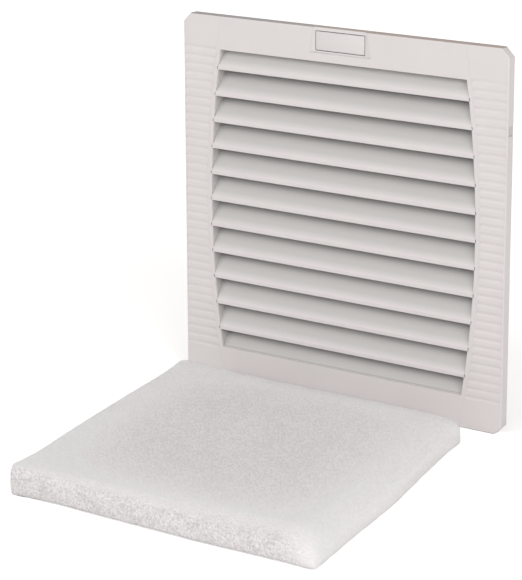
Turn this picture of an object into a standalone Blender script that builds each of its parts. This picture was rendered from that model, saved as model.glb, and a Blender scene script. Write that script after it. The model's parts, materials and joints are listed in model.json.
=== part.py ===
"""Cabinet filter fan of the 250 mm class: a louvred cover that folds down on a base frame, which clips
into a door cut-out and carries a filter seat and an axial fan. The filter mat lies in front of it.

Metres, +Z up, +Y into the cabinet. The shapes are drawn with the cover's front face at y = 0 and its
bottom edge at z = 0. One empty then moves the whole part, so that the world's origin is on the rear
face of the gasket, in the middle of its lower run, where the part seats on the door.
"""

import math

import bmesh
import bpy
from mathutils import Matrix, Vector

# Running and seating gaps
GAP = 0.0003
PIN_GAP = 0.0002
BLADE_TIP_GAP = 0.0015

# Cover: outer shell
COVER_SIDE = 0.250
COVER_DEPTH = 0.007
COVER_WALL = 0.0022
CORNER_CUT = 0.0058
FRONT_EDGE = 0.0006
PRY_SLOT_DROP = 0.0556
PRY_SLOT_HEIGHT = 0.0064
PRY_SLOT_FRONT = 0.0016

# Cover: louvre field and its ribbed side bands
FIELD_LOW = 0.0217
FIELD_TOP_MARGIN = 0.0226
FIELD_SIDE_MARGIN = 0.0302
FIELD_BULGE = 0.0082
FIELD_DEPTH = 0.013
FIELD_WALL = 0.0016
SILL_DEPTH = 0.0028
SILL_RISE = 0.0011
BLADE_PITCH = 0.018
TOP_BLADE_DROP = 0.0135
BLADE_LIP_HEIGHT = 0.0025
BLADE_THICKNESS = 0.0018
BLADE_REACH = 0.0122
BLADE_CLIMB = 0.01468
BLADE_START_SLOPE = 2.017
BAND_MARGIN = 0.003
BAND_LINE_WIDTH = 0.0008
BAND_LINE_DEPTH = 0.0003
RIB_PITCH = 0.00565
RIB_GROOVE_WIDTH = 0.0024
RIB_GROOVE_DEPTH = 0.0004

# Latch: push button, spring tongue and its keeper
BUTTON_WIDTH = 0.0374
BUTTON_HEIGHT = 0.0123
BUTTON_GAP = 0.0004
BUTTON_SUNK = 0.0005
BUTTON_FACE_WALL = 0.0012
BUTTON_TRAVEL = 0.0015
BUTTON_EAR = 0.0020
BUTTON_EAR_THICKNESS = 0.0007
RECESS_TOP_HALF = 0.0208
RECESS_BOTTOM_HALF = 0.0237
RECESS_MARGIN = 0.0019
RECESS_DEPTH = 0.0008
TOE_HALF = 0.005
TOE_HEIGHT = 0.0012
TOE_KEEPER_GAP = 0.0014
TONGUE_HALF = 0.013
TONGUE_THICKNESS = 0.0008
TONGUE_LEG_WIDTH = 0.005
TONGUE_CLEARANCE = 0.0011
CAM_HEIGHT = 0.0006
BARB_HEIGHT = 0.0018
BARB_LENGTH = 0.0022
KEEPER_HALF = 0.012
KEEPER_THICKNESS = 0.002
KEEPER_SUNK = 0.0003
KEEPER_BITE = 0.0007

# Cover hinge at the lower edge
HINGE_SUNK = 0.0002
HINGE_Z = 0.0032
HINGE_INSET = 0.045
KNUCKLE_RADIUS = 0.0023
PIN_RADIUS = 0.0010
EAR_WIDTH = 0.008
LUG_WIDTH = 0.005
SIDE_GAP = 0.0005

# Base frame: flange, plug through the door cut-out, bulkhead behind the filter
FLANGE_STANDOFF = 0.0030
FLANGE_THICKNESS = 0.002
FLANGE_INSET = 0.0045
COVER_LAP = 0.0145
PLUG_WALL = 0.0025
PLUG_LENGTH = 0.0248
BULKHEAD_THICKNESS = 0.003
GASKET_THICKNESS = 0.0025
GASKET_INSET = 0.001
GASKET_PLUG_GAP = 0.0005

# Filter seat and filter mat
GRILLE_THICKNESS = 0.0021
GRILLE_GAP = 0.0008
GRILLE_RIM = 0.004
GRILLE_BAR = 0.002
GRILLE_CELLS = 8
MAT_THICKNESS = 0.0175
MAT_WIDTH = 0.2191
MAT_LENGTH = 0.2357
MAT_TAPER = 0.0008
MAT_MIDDLE_X = 0.0246
MAT_MIDDLE_Y = -0.1438
MAT_TURN = math.radians(0.4)
MAT_SKEW = math.radians(11.1)
MAT_CORNER_RADIUS = 0.004
MAT_EDGE = 0.0025

# Snap clips that hold the plug in the door
CLIP_INSET = 0.0505
CLIP_HEIGHT = 0.013
CLIP_PIVOT_BACK = 0.0132
CLIP_PIVOT_INSET = 0.0025
CLIP_HUB_RADIUS = 0.0021
CLIP_ARM = 0.0020
CLIP_FRONT_BACK = 0.0024
CLIP_CREST_BACK = 0.0036
CLIP_PROUD = 0.0033
CLIP_BOSS = 0.0035

# Fan: frame, struts and mounting holes
FAN_MARGIN = 0.0245
FAN_FLAT_CUT = 0.011
FAN_DEPTH = 0.038
FAN_RIM = 0.014
FAN_TUBE_WALL = 0.0025
FAN_FLANGE = 0.004
FAN_HOLE_INSET = 0.005
FAN_HOLE_ANGLE = math.radians(25)
FAN_HOLE_RADIUS = 0.0023
STRUT_WIDTH = 0.005
STRUT_DEPTH = 0.005
MOTOR_PLATE_RADIUS = 0.031
MOTOR_PLATE = 0.004

# Motor and impeller
BLADES = 7
HUB_RADIUS = 0.029
HUB_WALL = 0.0018
HUB_LENGTH = 0.0225
HUB_FRONT_INSET = 0.0062
ROTOR_WALL = 0.0020
ROTOR_LENGTH = 0.0195
SHAFT_RADIUS = 0.0015
BEARING_RADIUS = 0.0040
BEARING_LENGTH = 0.0040
BEARING_TUBE_WALL = 0.0016
BEARING_TUBE_LENGTH = 0.0205
STATOR_RADIUS = 0.0238
STATOR_STACK = 0.012
STATOR_YOKE = 0.0038
POLE_WIDTH = 0.008
POLE_SHOE = 0.0190
COIL_WALL = 0.0033
CLIP_RING_RADIUS = 0.0031
CLIP_RING_THICKNESS = 0.0005
BLADE_ROOT_PITCH = math.radians(48)
BLADE_TIP_PITCH = math.radians(27)
BLADE_ROOT_CHORD = 0.025
BLADE_TIP_CHORD = 0.040
FAN_BLADE_THICKNESS = 0.0018
FAN_BLADE_CAMBER_RATIO = 0.10

# Guard and screws
WIRE_RADIUS = 0.0011
GUARD_RINGS = 5
GUARD_EDGE = 0.002
GUARD_LOOP_RADIUS = 0.0037
SCREW_RADIUS = 0.0019
SCREW_HEAD_RADIUS = 0.0042
SCREW_HEAD = 0.0024
SCREW_BITE = 0.0018
SLOT_WIDTH = 0.0009
SMALL_SCREW_RADIUS = 0.0008
SMALL_HEAD_RADIUS = 0.0017
SMALL_HEAD = 0.0009

# Terminal block on the bulkhead
TERMINALS = 3
TERMINAL_PITCH = 0.010
TERMINAL_END = 0.007
TERMINAL_HEIGHT = 0.016
TERMINAL_DEPTH = 0.014
TERMINAL_SIDE_INSET = 0.0065
TERMINAL_LOW_INSET = 0.0055
TERMINAL_WELL_RADIUS = 0.0033
TERMINAL_WELL_DEPTH = 0.009
TERMINAL_SCREW_RADIUS = 0.0028
TERMINAL_SCREW_LENGTH = 0.005
WIRE_ENTRY_RADIUS = 0.0017

# Facets
ROUND = 48
MEDIUM = 28
GUARD_SIDES = 24
SMALL = 16
TINY = 10

# Places that follow from the sizes
MIDDLE_Z = COVER_SIDE / 2
COVER_HALF = COVER_SIDE / 2
PRY_SLOT_LOW = COVER_SIDE - PRY_SLOT_DROP
FIELD_HIGH = COVER_SIDE - FIELD_TOP_MARGIN
FIELD_CORNER_HALF = COVER_HALF - FIELD_SIDE_MARGIN
TOP_BLADE_LIP = FIELD_HIGH - TOP_BLADE_DROP
BLADE_COUNT = math.ceil((TOP_BLADE_LIP - FIELD_LOW) / BLADE_PITCH) + 1
BLADE_BEND = (BLADE_START_SLOPE * BLADE_REACH - BLADE_CLIMB) / BLADE_REACH**2
FLANGE_FRONT = COVER_WALL + FLANGE_STANDOFF
FLANGE_HALF = COVER_HALF - FLANGE_INSET
FLANGE_REAR = FLANGE_FRONT + FLANGE_THICKNESS
HINGE_Y = FLANGE_FRONT + HINGE_SUNK
HINGE_SPREAD = COVER_HALF - HINGE_INSET
PLUG_HALF = COVER_HALF - COVER_LAP
PLUG_INNER_HALF = PLUG_HALF - PLUG_WALL
PLUG_REAR = FLANGE_REAR + PLUG_LENGTH
BULKHEAD_FRONT = PLUG_REAR - BULKHEAD_THICKNESS
GASKET_HALF = FLANGE_HALF - GASKET_INSET
GASKET_INNER_HALF = PLUG_HALF + GASKET_PLUG_GAP
GASKET_FRONT = FLANGE_REAR + GAP
DOOR_SEAT_Y = GASKET_FRONT + GASKET_THICKNESS
DOOR_SEAT_Z = MIDDLE_Z - (GASKET_HALF + GASKET_INNER_HALF) / 2
GRILLE_REAR = BULKHEAD_FRONT - GAP
GRILLE_FRONT = GRILLE_REAR - GRILLE_THICKNESS
GRILLE_HALF = PLUG_INNER_HALF - GRILLE_GAP
FAN_RADIUS = PLUG_HALF - FAN_MARGIN
FAN_FLAT_HALF = FAN_RADIUS - FAN_FLAT_CUT
FAN_BORE_RADIUS = FAN_RADIUS - FAN_RIM
FAN_HOLE_RING = FAN_RADIUS - FAN_HOLE_INSET
FAN_FRONT = PLUG_REAR + GAP
FAN_REAR = FAN_FRONT + FAN_DEPTH
HUB_FRONT = FAN_FRONT + HUB_FRONT_INSET
ROTOR_FRONT = HUB_FRONT + HUB_WALL + GAP
ROTOR_RADIUS = HUB_RADIUS - HUB_WALL - GAP
MOTOR_PLATE_FRONT = FAN_REAR - MOTOR_PLATE
BEARING_TUBE_RADIUS = BEARING_RADIUS + GAP
BEARING_TUBE_OUTER = BEARING_TUBE_RADIUS + BEARING_TUBE_WALL
BEARING_TUBE_FRONT = MOTOR_PLATE_FRONT - BEARING_TUBE_LENGTH
GUARD_Y = FAN_REAR + GAP + WIRE_RADIUS
GUARD_RING_STEP = (FAN_BORE_RADIUS - GUARD_EDGE) / GUARD_RINGS
TONGUE_LOW = FIELD_HIGH + FIELD_WALL + TONGUE_CLEARANCE
TONGUE_TOP = TONGUE_LOW + TONGUE_THICKNESS
TONGUE_LEG_TOP = TONGUE_TOP + 2 * SMALL_HEAD_RADIUS + GAP
BUTTON_MIDDLE = TONGUE_LEG_TOP + GAP + BUTTON_HEIGHT / 2
RECESS_LOW = BUTTON_MIDDLE - BUTTON_HEIGHT / 2 - RECESS_MARGIN
KEEPER_FRONT = FLANGE_REAR - KEEPER_SUNK
TOE_REAR = KEEPER_FRONT - TOE_KEEPER_GAP - BUTTON_TRAVEL
TOE_SLANT = TOE_HEIGHT / 2
CLIP_SPREAD = PLUG_HALF - CLIP_INSET
CLIP_PIVOT_X = PLUG_HALF - CLIP_PIVOT_INSET
CLIP_PIVOT_Y = DOOR_SEAT_Y + CLIP_PIVOT_BACK
CLIP_FRONT_Y = DOOR_SEAT_Y + CLIP_FRONT_BACK
CLIP_CREST_Y = DOOR_SEAT_Y + CLIP_CREST_BACK
FAN_CENTRE = Vector((0, 0, MIDDLE_Z))


def clear_scene():
    for item in list(bpy.data.objects):
        bpy.data.objects.remove(item, do_unlink=True)


def material(name, colour, roughness, metallic=0.0):
    made = bpy.data.materials.new(name)
    made.use_nodes = True
    shader = made.node_tree.nodes["Principled BSDF"]
    shader.inputs["Base Color"].default_value = (*colour, 1)
    shader.inputs["Roughness"].default_value = roughness
    shader.inputs["Metallic"].default_value = metallic
    return made


class Carrier:
    """An empty at a point of the drawing, whose children keep the drawing's coordinates."""

    def __init__(self, name, point, parent=None):
        self.point = Vector(point)
        self.empty = bpy.data.objects.new(name, None)
        self.empty.empty_display_size = 0.02
        bpy.context.scene.collection.objects.link(self.empty)
        if parent:
            self.empty.parent = parent.empty
            self.empty.location = self.point - parent.point
        else:
            self.empty.location = self.point - Vector((0, DOOR_SEAT_Y, DOOR_SEAT_Z))

    def add(self, name, shape, finish=None):
        """Turns the bmesh into an object that this carrier carries."""
        bmesh.ops.recalc_face_normals(shape, faces=shape.faces)
        mesh = bpy.data.meshes.new(name)
        shape.to_mesh(mesh)
        shape.free()
        piece = bpy.data.objects.new(name, mesh)
        piece.parent = self.empty
        piece.location = -self.point
        if finish:
            mesh.materials.append(finish)
            bpy.context.scene.collection.objects.link(piece)
        return piece


def combine(piece, operation, shapes):
    """One exact Boolean of the piece with all the shapes, which stay as hidden wire objects."""
    group = bpy.data.collections.new(f"{piece.name} {operation.lower()}")
    bpy.context.scene.collection.children.link(group)
    for shape in shapes:
        shape.hide_render = True
        shape.display_type = "WIRE"
        group.objects.link(shape)
    modifier = piece.modifiers.new(operation.title(), "BOOLEAN")
    modifier.operation = operation
    modifier.solver = "EXACT"
    modifier.operand_type = "COLLECTION"
    modifier.collection = group


def smooth(piece, degrees=35):
    piece.data.shade_smooth()
    piece.data.set_sharp_from_angle(angle=math.radians(degrees))


def on_axis(axis, along, u, v):
    """A point at `along` on the axis, with u and v on the other two in X, Y, Z order."""
    return Vector({"x": (along, u, v), "y": (u, along, v), "z": (u, v, along)}[axis])


def prism(outline, low, high, axis="y", shape=None):
    """The closed outline of (u, v) points, swept along the axis from low to high."""
    shape = shape or bmesh.new()
    ends = [[shape.verts.new(on_axis(axis, level, u, v)) for u, v in outline] for level in (low, high)]
    for end in ends:
        shape.faces.new(end)
    for n, corner in enumerate(ends[0]):
        shape.faces.new((ends[0][n - 1], corner, ends[1][n], ends[1][n - 1]))
    return shape


def box(low, high):
    outline = [(low[0], low[2]), (high[0], low[2]), (high[0], high[2]), (low[0], high[2])]
    return prism(outline, low[1], high[1])


def turned(profile, centre, axis="y", sides=MEDIUM, ring=False):
    """Revolves (radius, along) points about an axis through the centre. A ring's profile is closed."""
    shape = bmesh.new()
    loops = []
    across = [part for part, letter in zip(centre, "xyz") if letter != axis]
    for radius, along in profile:
        turns = sides if radius else 1
        angles = [math.tau * n / turns for n in range(turns)]
        points = [(across[0] + radius * math.cos(a), across[1] + radius * math.sin(a)) for a in angles]
        loops.append([shape.verts.new(on_axis(axis, along, u, v)) for u, v in points])
    pairs = list(zip(loops, loops[1:]))
    if ring:
        pairs.append((loops[-1], loops[0]))
    for first, second in pairs:
        for n in range(sides):
            corners = [first[n - 1], first[n]] if len(first) > 1 else [first[0]]
            corners += [second[n], second[n - 1]] if len(second) > 1 else [second[0]]
            if len(corners) > 2:
                shape.faces.new(corners)
    return shape


def cylinder(centre, radius, low, high, axis="y", sides=MEDIUM):
    return turned([(0, low), (radius, low), (radius, high), (0, high)], centre, axis, sides)


def tube(centre, inner, outer, low, high, sides=MEDIUM):
    profile = [(inner, low), (outer, low), (outer, high), (inner, high)]
    return turned(profile, centre, "y", sides, ring=True)


def wire_ring(centre, radius, sides):
    """A ring of round wire about Y."""
    count = 6
    turns = [math.tau * n / count for n in range(count)]
    profile = [(radius + WIRE_RADIUS * math.cos(a), centre[1] + WIRE_RADIUS * math.sin(a)) for a in turns]
    return turned(profile, centre, "y", sides, ring=True)


def rod(start, end, radius, sides=6):
    shape = bmesh.new()
    start, end = Vector(start), Vector(end)
    turn = (end - start).to_track_quat("Z", "Y").to_matrix().to_4x4()
    bmesh.ops.create_cone(
        shape,
        cap_ends=True,
        segments=sides,
        radius1=radius,
        radius2=radius,
        depth=(end - start).length,
        matrix=Matrix.Translation((start + end) / 2) @ turn,
    )
    return shape


def cut_square(half, corner, middle=MIDDLE_Z):
    """The (x, z) outline of a square about the middle of the cover, with its corners cut at 45 degrees."""
    near = half - corner
    outline = []
    for sign_x, sign_z in ((1, -1), (1, 1), (-1, 1), (-1, -1)):
        ends = [(sign_x * near, middle + sign_z * half), (sign_x * half, middle + sign_z * near)]
        outline += ends if sign_x * sign_z < 0 else ends[::-1]
    return outline


def arc_half_width(z, margin=0.0):
    """Half the width of the louvre field at height z. Its sides are arcs that bulge outwards."""
    half_height = (FIELD_HIGH - FIELD_LOW) / 2
    radius = (half_height**2 + FIELD_BULGE**2) / (2 * FIELD_BULGE) + margin
    rise = z - (FIELD_HIGH + FIELD_LOW) / 2
    centre = FIELD_CORNER_HALF + FIELD_BULGE + margin - radius
    return centre + math.sqrt(radius**2 - rise**2)


def field_outline(margin=0.0, over=0.0, low=FIELD_LOW, high=FIELD_HIGH, steps=14):
    """The (x, z) outline of the louvre field, grown sideways by margin and up and down by over."""
    low, high = low - over, high + over
    heights = [low + (high - low) * n / steps for n in range(steps + 1)]
    right = [(arc_half_width(z, margin), z) for z in heights]
    return right + [(-x, z) for x, z in reversed(right)]


def blade_profile(lip):
    """The (y, z) outline of one louvre blade, whose lower front edge is at height lip."""
    steps = 5
    depths = [BLADE_REACH * n / steps for n in range(steps + 1)]
    top = [(y, lip + BLADE_LIP_HEIGHT + BLADE_START_SLOPE * y - BLADE_BEND * y * y) for y in depths]
    under = []
    for y, z in top[1:]:
        slope = math.atan(BLADE_START_SLOPE - 2 * BLADE_BEND * y)
        under.append((y + BLADE_THICKNESS * math.sin(slope), z - BLADE_THICKNESS * math.cos(slope)))
    return [(0.0, lip), *top, *reversed(under), (BLADE_THICKNESS, lip)]


def sill_outline():
    """The (y, z) outline of the sloping sill between the field's lower edge and the lowest blade."""
    low = FIELD_LOW - FIELD_WALL / 2
    front = FRONT_EDGE / 2
    return [(front, low), (front, FIELD_LOW), (SILL_DEPTH, FIELD_LOW + SILL_RISE), (SILL_DEPTH, low)]


def make_cover(hinge, plastic):
    """The cover: shell, louvres, ribbed bands, button recess, hinge lugs and latch seat."""
    shell = prism(cut_square(COVER_HALF, CORNER_CUT), 0.0, COVER_DEPTH)
    front = [edge for edge in shell.edges if all(abs(v.co.y) < 1e-6 for v in edge.verts)]
    bmesh.ops.bevel(shell, geom=front, offset=FRONT_EDGE, segments=2, profile=0.5, affect="EDGES")
    cover = hinge.add("cover_grille", shell, plastic)
    beyond = 0.001
    inner = COVER_HALF - COVER_WALL
    hollow = prism(cut_square(inner, CORNER_CUT - COVER_WALL / 2), COVER_WALL, COVER_DEPTH + beyond)
    opening = prism(field_outline(), -beyond, COVER_WALL + beyond)
    combine(cover, "DIFFERENCE", [hinge.add("cover_hollow", hollow), hinge.add("field_opening", opening)])

    duct = hinge.add("field_duct", prism(field_outline(FIELD_WALL, FIELD_WALL), FRONT_EDGE, FIELD_DEPTH))
    air = prism(field_outline(), -beyond, FIELD_DEPTH + beyond)
    combine(duct, "DIFFERENCE", [hinge.add("duct_air", air)])
    blades = []
    for n in range(BLADE_COUNT):
        profile = blade_profile(TOP_BLADE_LIP - n * BLADE_PITCH)
        blade = hinge.add(f"blade_shape_{n + 1}", prism(profile, -PLUG_HALF, PLUG_HALF, "x"))
        limit = prism(field_outline(FIELD_WALL / 2, FIELD_WALL / 2), -beyond, FIELD_DEPTH + beyond)
        combine(blade, "INTERSECT", [hinge.add(f"blade_limit_{n + 1}", limit)])
        blades.append(blade)
    lugs = []
    for x, _ in hinge_stations():
        for side in (-1, 1):
            inside = x + side * (EAR_WIDTH / 2 + SIDE_GAP)
            low, high = sorted((inside, inside + side * LUG_WIDTH))
            lug = cylinder((0, HINGE_Y, HINGE_Z), KNUCKLE_RADIUS, low, high, "x", SMALL)
            lugs.append(hinge.add("lug_shape", lug))
            foot = box((low, HINGE_Y - KNUCKLE_RADIUS / 2, COVER_WALL / 2), (high, COVER_DEPTH, HINGE_Z))
            lugs.append(hinge.add("lug_foot", foot))
    reach = arc_half_width(FIELD_LOW, FIELD_WALL / 2)
    sill = hinge.add("sill_shape", prism(sill_outline(), -reach, reach, "x"))
    combine(cover, "UNION", [duct, *blades, *lugs, sill])

    cutters = [button_recess(hinge), button_window(hinge, beyond), pry_slot(hinge, beyond)]
    cutters += band_grooves(hinge)
    for x, _ in hinge_stations():
        reach = EAR_WIDTH / 2 + SIDE_GAP
        notch = box((x - reach, COVER_WALL, -beyond), (x + reach, COVER_DEPTH + beyond, COVER_WALL + beyond))
        cutters.append(hinge.add("ear_notch", notch))
        reach += LUG_WIDTH + beyond
        bore = cylinder((0, HINGE_Y, HINGE_Z), PIN_RADIUS + PIN_GAP, x - reach, x + reach, "x", SMALL)
        cutters.append(hinge.add("lug_bore", bore))
    for x, z in tongue_screw_points():
        bore = SMALL_SCREW_RADIUS + PIN_GAP
        hole = cylinder((x, 0, z), bore, COVER_WALL / 2, COVER_WALL + beyond, "y", TINY)
        cutters.append(hinge.add("tongue_screw_hole", hole))
    combine(cover, "DIFFERENCE", cutters)


def hinge_stations():
    return [(-HINGE_SPREAD, "left"), (HINGE_SPREAD, "right")]


def tongue_screw_points():
    x = TONGUE_HALF - TONGUE_LEG_WIDTH / 2
    z = TONGUE_TOP + GAP + SMALL_HEAD_RADIUS
    return [(-x, z), (x, z)]


def button_recess(hinge):
    outline = [
        (-RECESS_BOTTOM_HALF, RECESS_LOW),
        (RECESS_BOTTOM_HALF, RECESS_LOW),
        (RECESS_TOP_HALF, COVER_SIDE + FRONT_EDGE),
        (-RECESS_TOP_HALF, COVER_SIDE + FRONT_EDGE),
    ]
    return hinge.add("button_recess", prism(outline, -FRONT_EDGE, RECESS_DEPTH))


def button_window(hinge, beyond):
    half = BUTTON_WIDTH / 2 + BUTTON_GAP
    rise = BUTTON_HEIGHT / 2 + BUTTON_GAP
    low = (-half, -beyond, BUTTON_MIDDLE - rise)
    high = (half, COVER_WALL + beyond, BUTTON_MIDDLE + rise)
    return hinge.add("button_window", box(low, high))


def pry_slot(hinge, beyond):
    low = (COVER_HALF - COVER_WALL - beyond, PRY_SLOT_FRONT, PRY_SLOT_LOW)
    high = (COVER_HALF + beyond, COVER_DEPTH + beyond, PRY_SLOT_LOW + PRY_SLOT_HEIGHT)
    return hinge.add("pry_slot", box(low, high))


def band_grooves(hinge):
    """Shallow grooves across the side bands, and the fine line that bounds the bands."""
    cutters = []
    count = round((FIELD_HIGH - FIELD_LOW) / RIB_PITCH)
    outer = COVER_HALF - 2 * FRONT_EDGE
    above = -RIB_GROOVE_DEPTH / 2
    for n in range(count + 1):
        z = FIELD_LOW + n * (FIELD_HIGH - FIELD_LOW) / count
        start = arc_half_width(z, BAND_MARGIN) + BAND_LINE_WIDTH
        half = RIB_GROOVE_WIDTH / 2
        section = [(above, z - half), (above, z + half), (RIB_GROOVE_DEPTH, z)]
        for low, high in ((start, outer), (-outer, -start)):
            cutters.append(hinge.add("rib_groove", prism(section, low, high, "x")))
    steps = 16
    heights = [COVER_SIDE * n / steps for n in range(-1, steps + 2)]
    for side in (-1, 1):
        near = [(side * arc_half_width(z, BAND_MARGIN - BAND_LINE_WIDTH / 2), z) for z in heights]
        far = [(side * arc_half_width(z, BAND_MARGIN + BAND_LINE_WIDTH / 2), z) for z in reversed(heights)]
        cutters.append(hinge.add("band_line", prism(near + far, -BAND_LINE_DEPTH, BAND_LINE_DEPTH)))
    return cutters


def make_button(slide, plastic):
    """The push button: a hollow cap with side ears that hold it in its window, and a toe for the tongue."""
    half, rise = BUTTON_WIDTH / 2, BUTTON_HEIGHT / 2
    low, high = BUTTON_MIDDLE - rise, BUTTON_MIDDLE + rise
    ear_front = COVER_WALL + GAP
    rear = ear_front + BUTTON_EAR_THICKNESS
    cap = box((-half, BUTTON_SUNK, low), (half, rear, high))
    face = [edge for edge in cap.edges if all(abs(v.co.y - BUTTON_SUNK) < 1e-6 for v in edge.verts)]
    bmesh.ops.bevel(cap, geom=face, offset=FRONT_EDGE / 2, segments=2, profile=0.5, affect="EDGES")
    button = slide.add("latch_button", cap, plastic)
    wall = BUTTON_FACE_WALL
    hollow = box((-half + wall, BUTTON_SUNK + wall, low + wall), (half - wall, rear + wall, high - wall))
    combine(button, "DIFFERENCE", [slide.add("button_hollow", hollow)])
    ears = []
    for side in (-1, 1):
        near, far = sorted((side * (half - wall), side * (half + BUTTON_EAR)))
        ear = box((near, ear_front, low + wall), (far, rear, high - wall))
        ears.append(slide.add("button_ear", ear))
    toe_low = TONGUE_TOP + GAP
    stem = box((-TOE_HALF, ear_front, toe_low), (TOE_HALF, rear, BUTTON_MIDDLE))
    web = box((-TOE_HALF, BUTTON_SUNK + wall / 2, low + wall / 2), (TOE_HALF, rear, BUTTON_MIDDLE))
    toe_outline = [
        (ear_front, toe_low),
        (TOE_REAR - TOE_SLANT, toe_low),
        (TOE_REAR, toe_low + TOE_SLANT),
        (TOE_REAR, toe_low + TOE_HEIGHT),
        (ear_front, toe_low + TOE_HEIGHT),
    ]
    toe = prism(toe_outline, -TOE_HALF, TOE_HALF, "x")
    combine(button, "UNION", [*ears, slide.add("button_stem", stem), slide.add("button_web", web),
                              slide.add("button_toe", toe)])


def make_tongue(hinge, steel, screw_steel):
    """The spring tongue: two legs screwed to the cover, and an arm with a barb behind the keeper.

    The button's toe slides up the cam on the arm, and so bends the barb down past the keeper.
    """
    front = COVER_WALL + GAP
    low = TONGUE_LOW
    thick = TONGUE_THICKNESS
    barb_front = KEEPER_FRONT + KEEPER_THICKNESS + GAP
    end = barb_front + BARB_LENGTH
    outline = [
        (front, low),
        (end, low),
        (end, TONGUE_TOP),
        (barb_front + thick / 2, TONGUE_TOP + BARB_HEIGHT),
        (barb_front, TONGUE_TOP + BARB_HEIGHT),
        (barb_front, TONGUE_TOP),
        (front + thick, TONGUE_TOP),
        (front + thick, TONGUE_LEG_TOP),
        (front, TONGUE_LEG_TOP),
    ]
    tongue = hinge.add("latch_tongue", prism(outline, -TONGUE_HALF, TONGUE_HALF, "x"), steel)
    inner = TONGUE_HALF - TONGUE_LEG_WIDTH
    gap_low = (-inner, front - thick, TONGUE_TOP)
    gap_high = (inner, front + 2 * thick, TONGUE_LEG_TOP + thick)
    cutters = [hinge.add("tongue_gap", box(gap_low, gap_high))]
    for x, z in tongue_screw_points():
        reach = (front - thick, front + 2 * thick)
        hole = cylinder((x, 0, z), SMALL_SCREW_RADIUS + PIN_GAP, *reach, "y", TINY)
        cutters.append(hinge.add("tongue_hole", hole))
    combine(tongue, "DIFFERENCE", cutters)
    cam_front = TOE_REAR - TOE_SLANT + (math.sqrt(2) - 1) * GAP
    cam_rear = TOE_REAR + BUTTON_TRAVEL
    cam_half = TOE_HALF + thick
    cam_outline = [
        (cam_front, TONGUE_TOP - thick / 2),
        (cam_rear + CAM_HEIGHT, TONGUE_TOP - thick / 2),
        (cam_rear + CAM_HEIGHT, TONGUE_TOP),
        (cam_rear, TONGUE_TOP + CAM_HEIGHT),
        (cam_front + CAM_HEIGHT, TONGUE_TOP + CAM_HEIGHT),
        (cam_front, TONGUE_TOP),
    ]
    combine(tongue, "UNION", [hinge.add("tongue_cam", prism(cam_outline, -cam_half, cam_half, "x"))])
    for n, (x, z) in enumerate(tongue_screw_points()):
        seat = front + thick + PIN_GAP
        tip = COVER_WALL / 2 + GAP
        profile = [(0, tip), (SMALL_SCREW_RADIUS, tip), (SMALL_SCREW_RADIUS, seat),
                   (SMALL_HEAD_RADIUS, seat), (SMALL_HEAD_RADIUS, seat + SMALL_HEAD), (0, seat + SMALL_HEAD)]
        screw = hinge.add(f"tongue_screw_{n + 1}", turned(profile, (x, 0, z), "y", TINY), screw_steel)
        smooth(screw)


def make_hinge_pins(hinge, steel):
    reach = EAR_WIDTH / 2 + SIDE_GAP + LUG_WIDTH
    for x, side in hinge_stations():
        pin = cylinder((0, HINGE_Y, HINGE_Z), PIN_RADIUS, x - reach, x + reach, "x", SMALL)
        smooth(hinge.add(f"hinge_pin_{side}", pin, steel))


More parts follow.
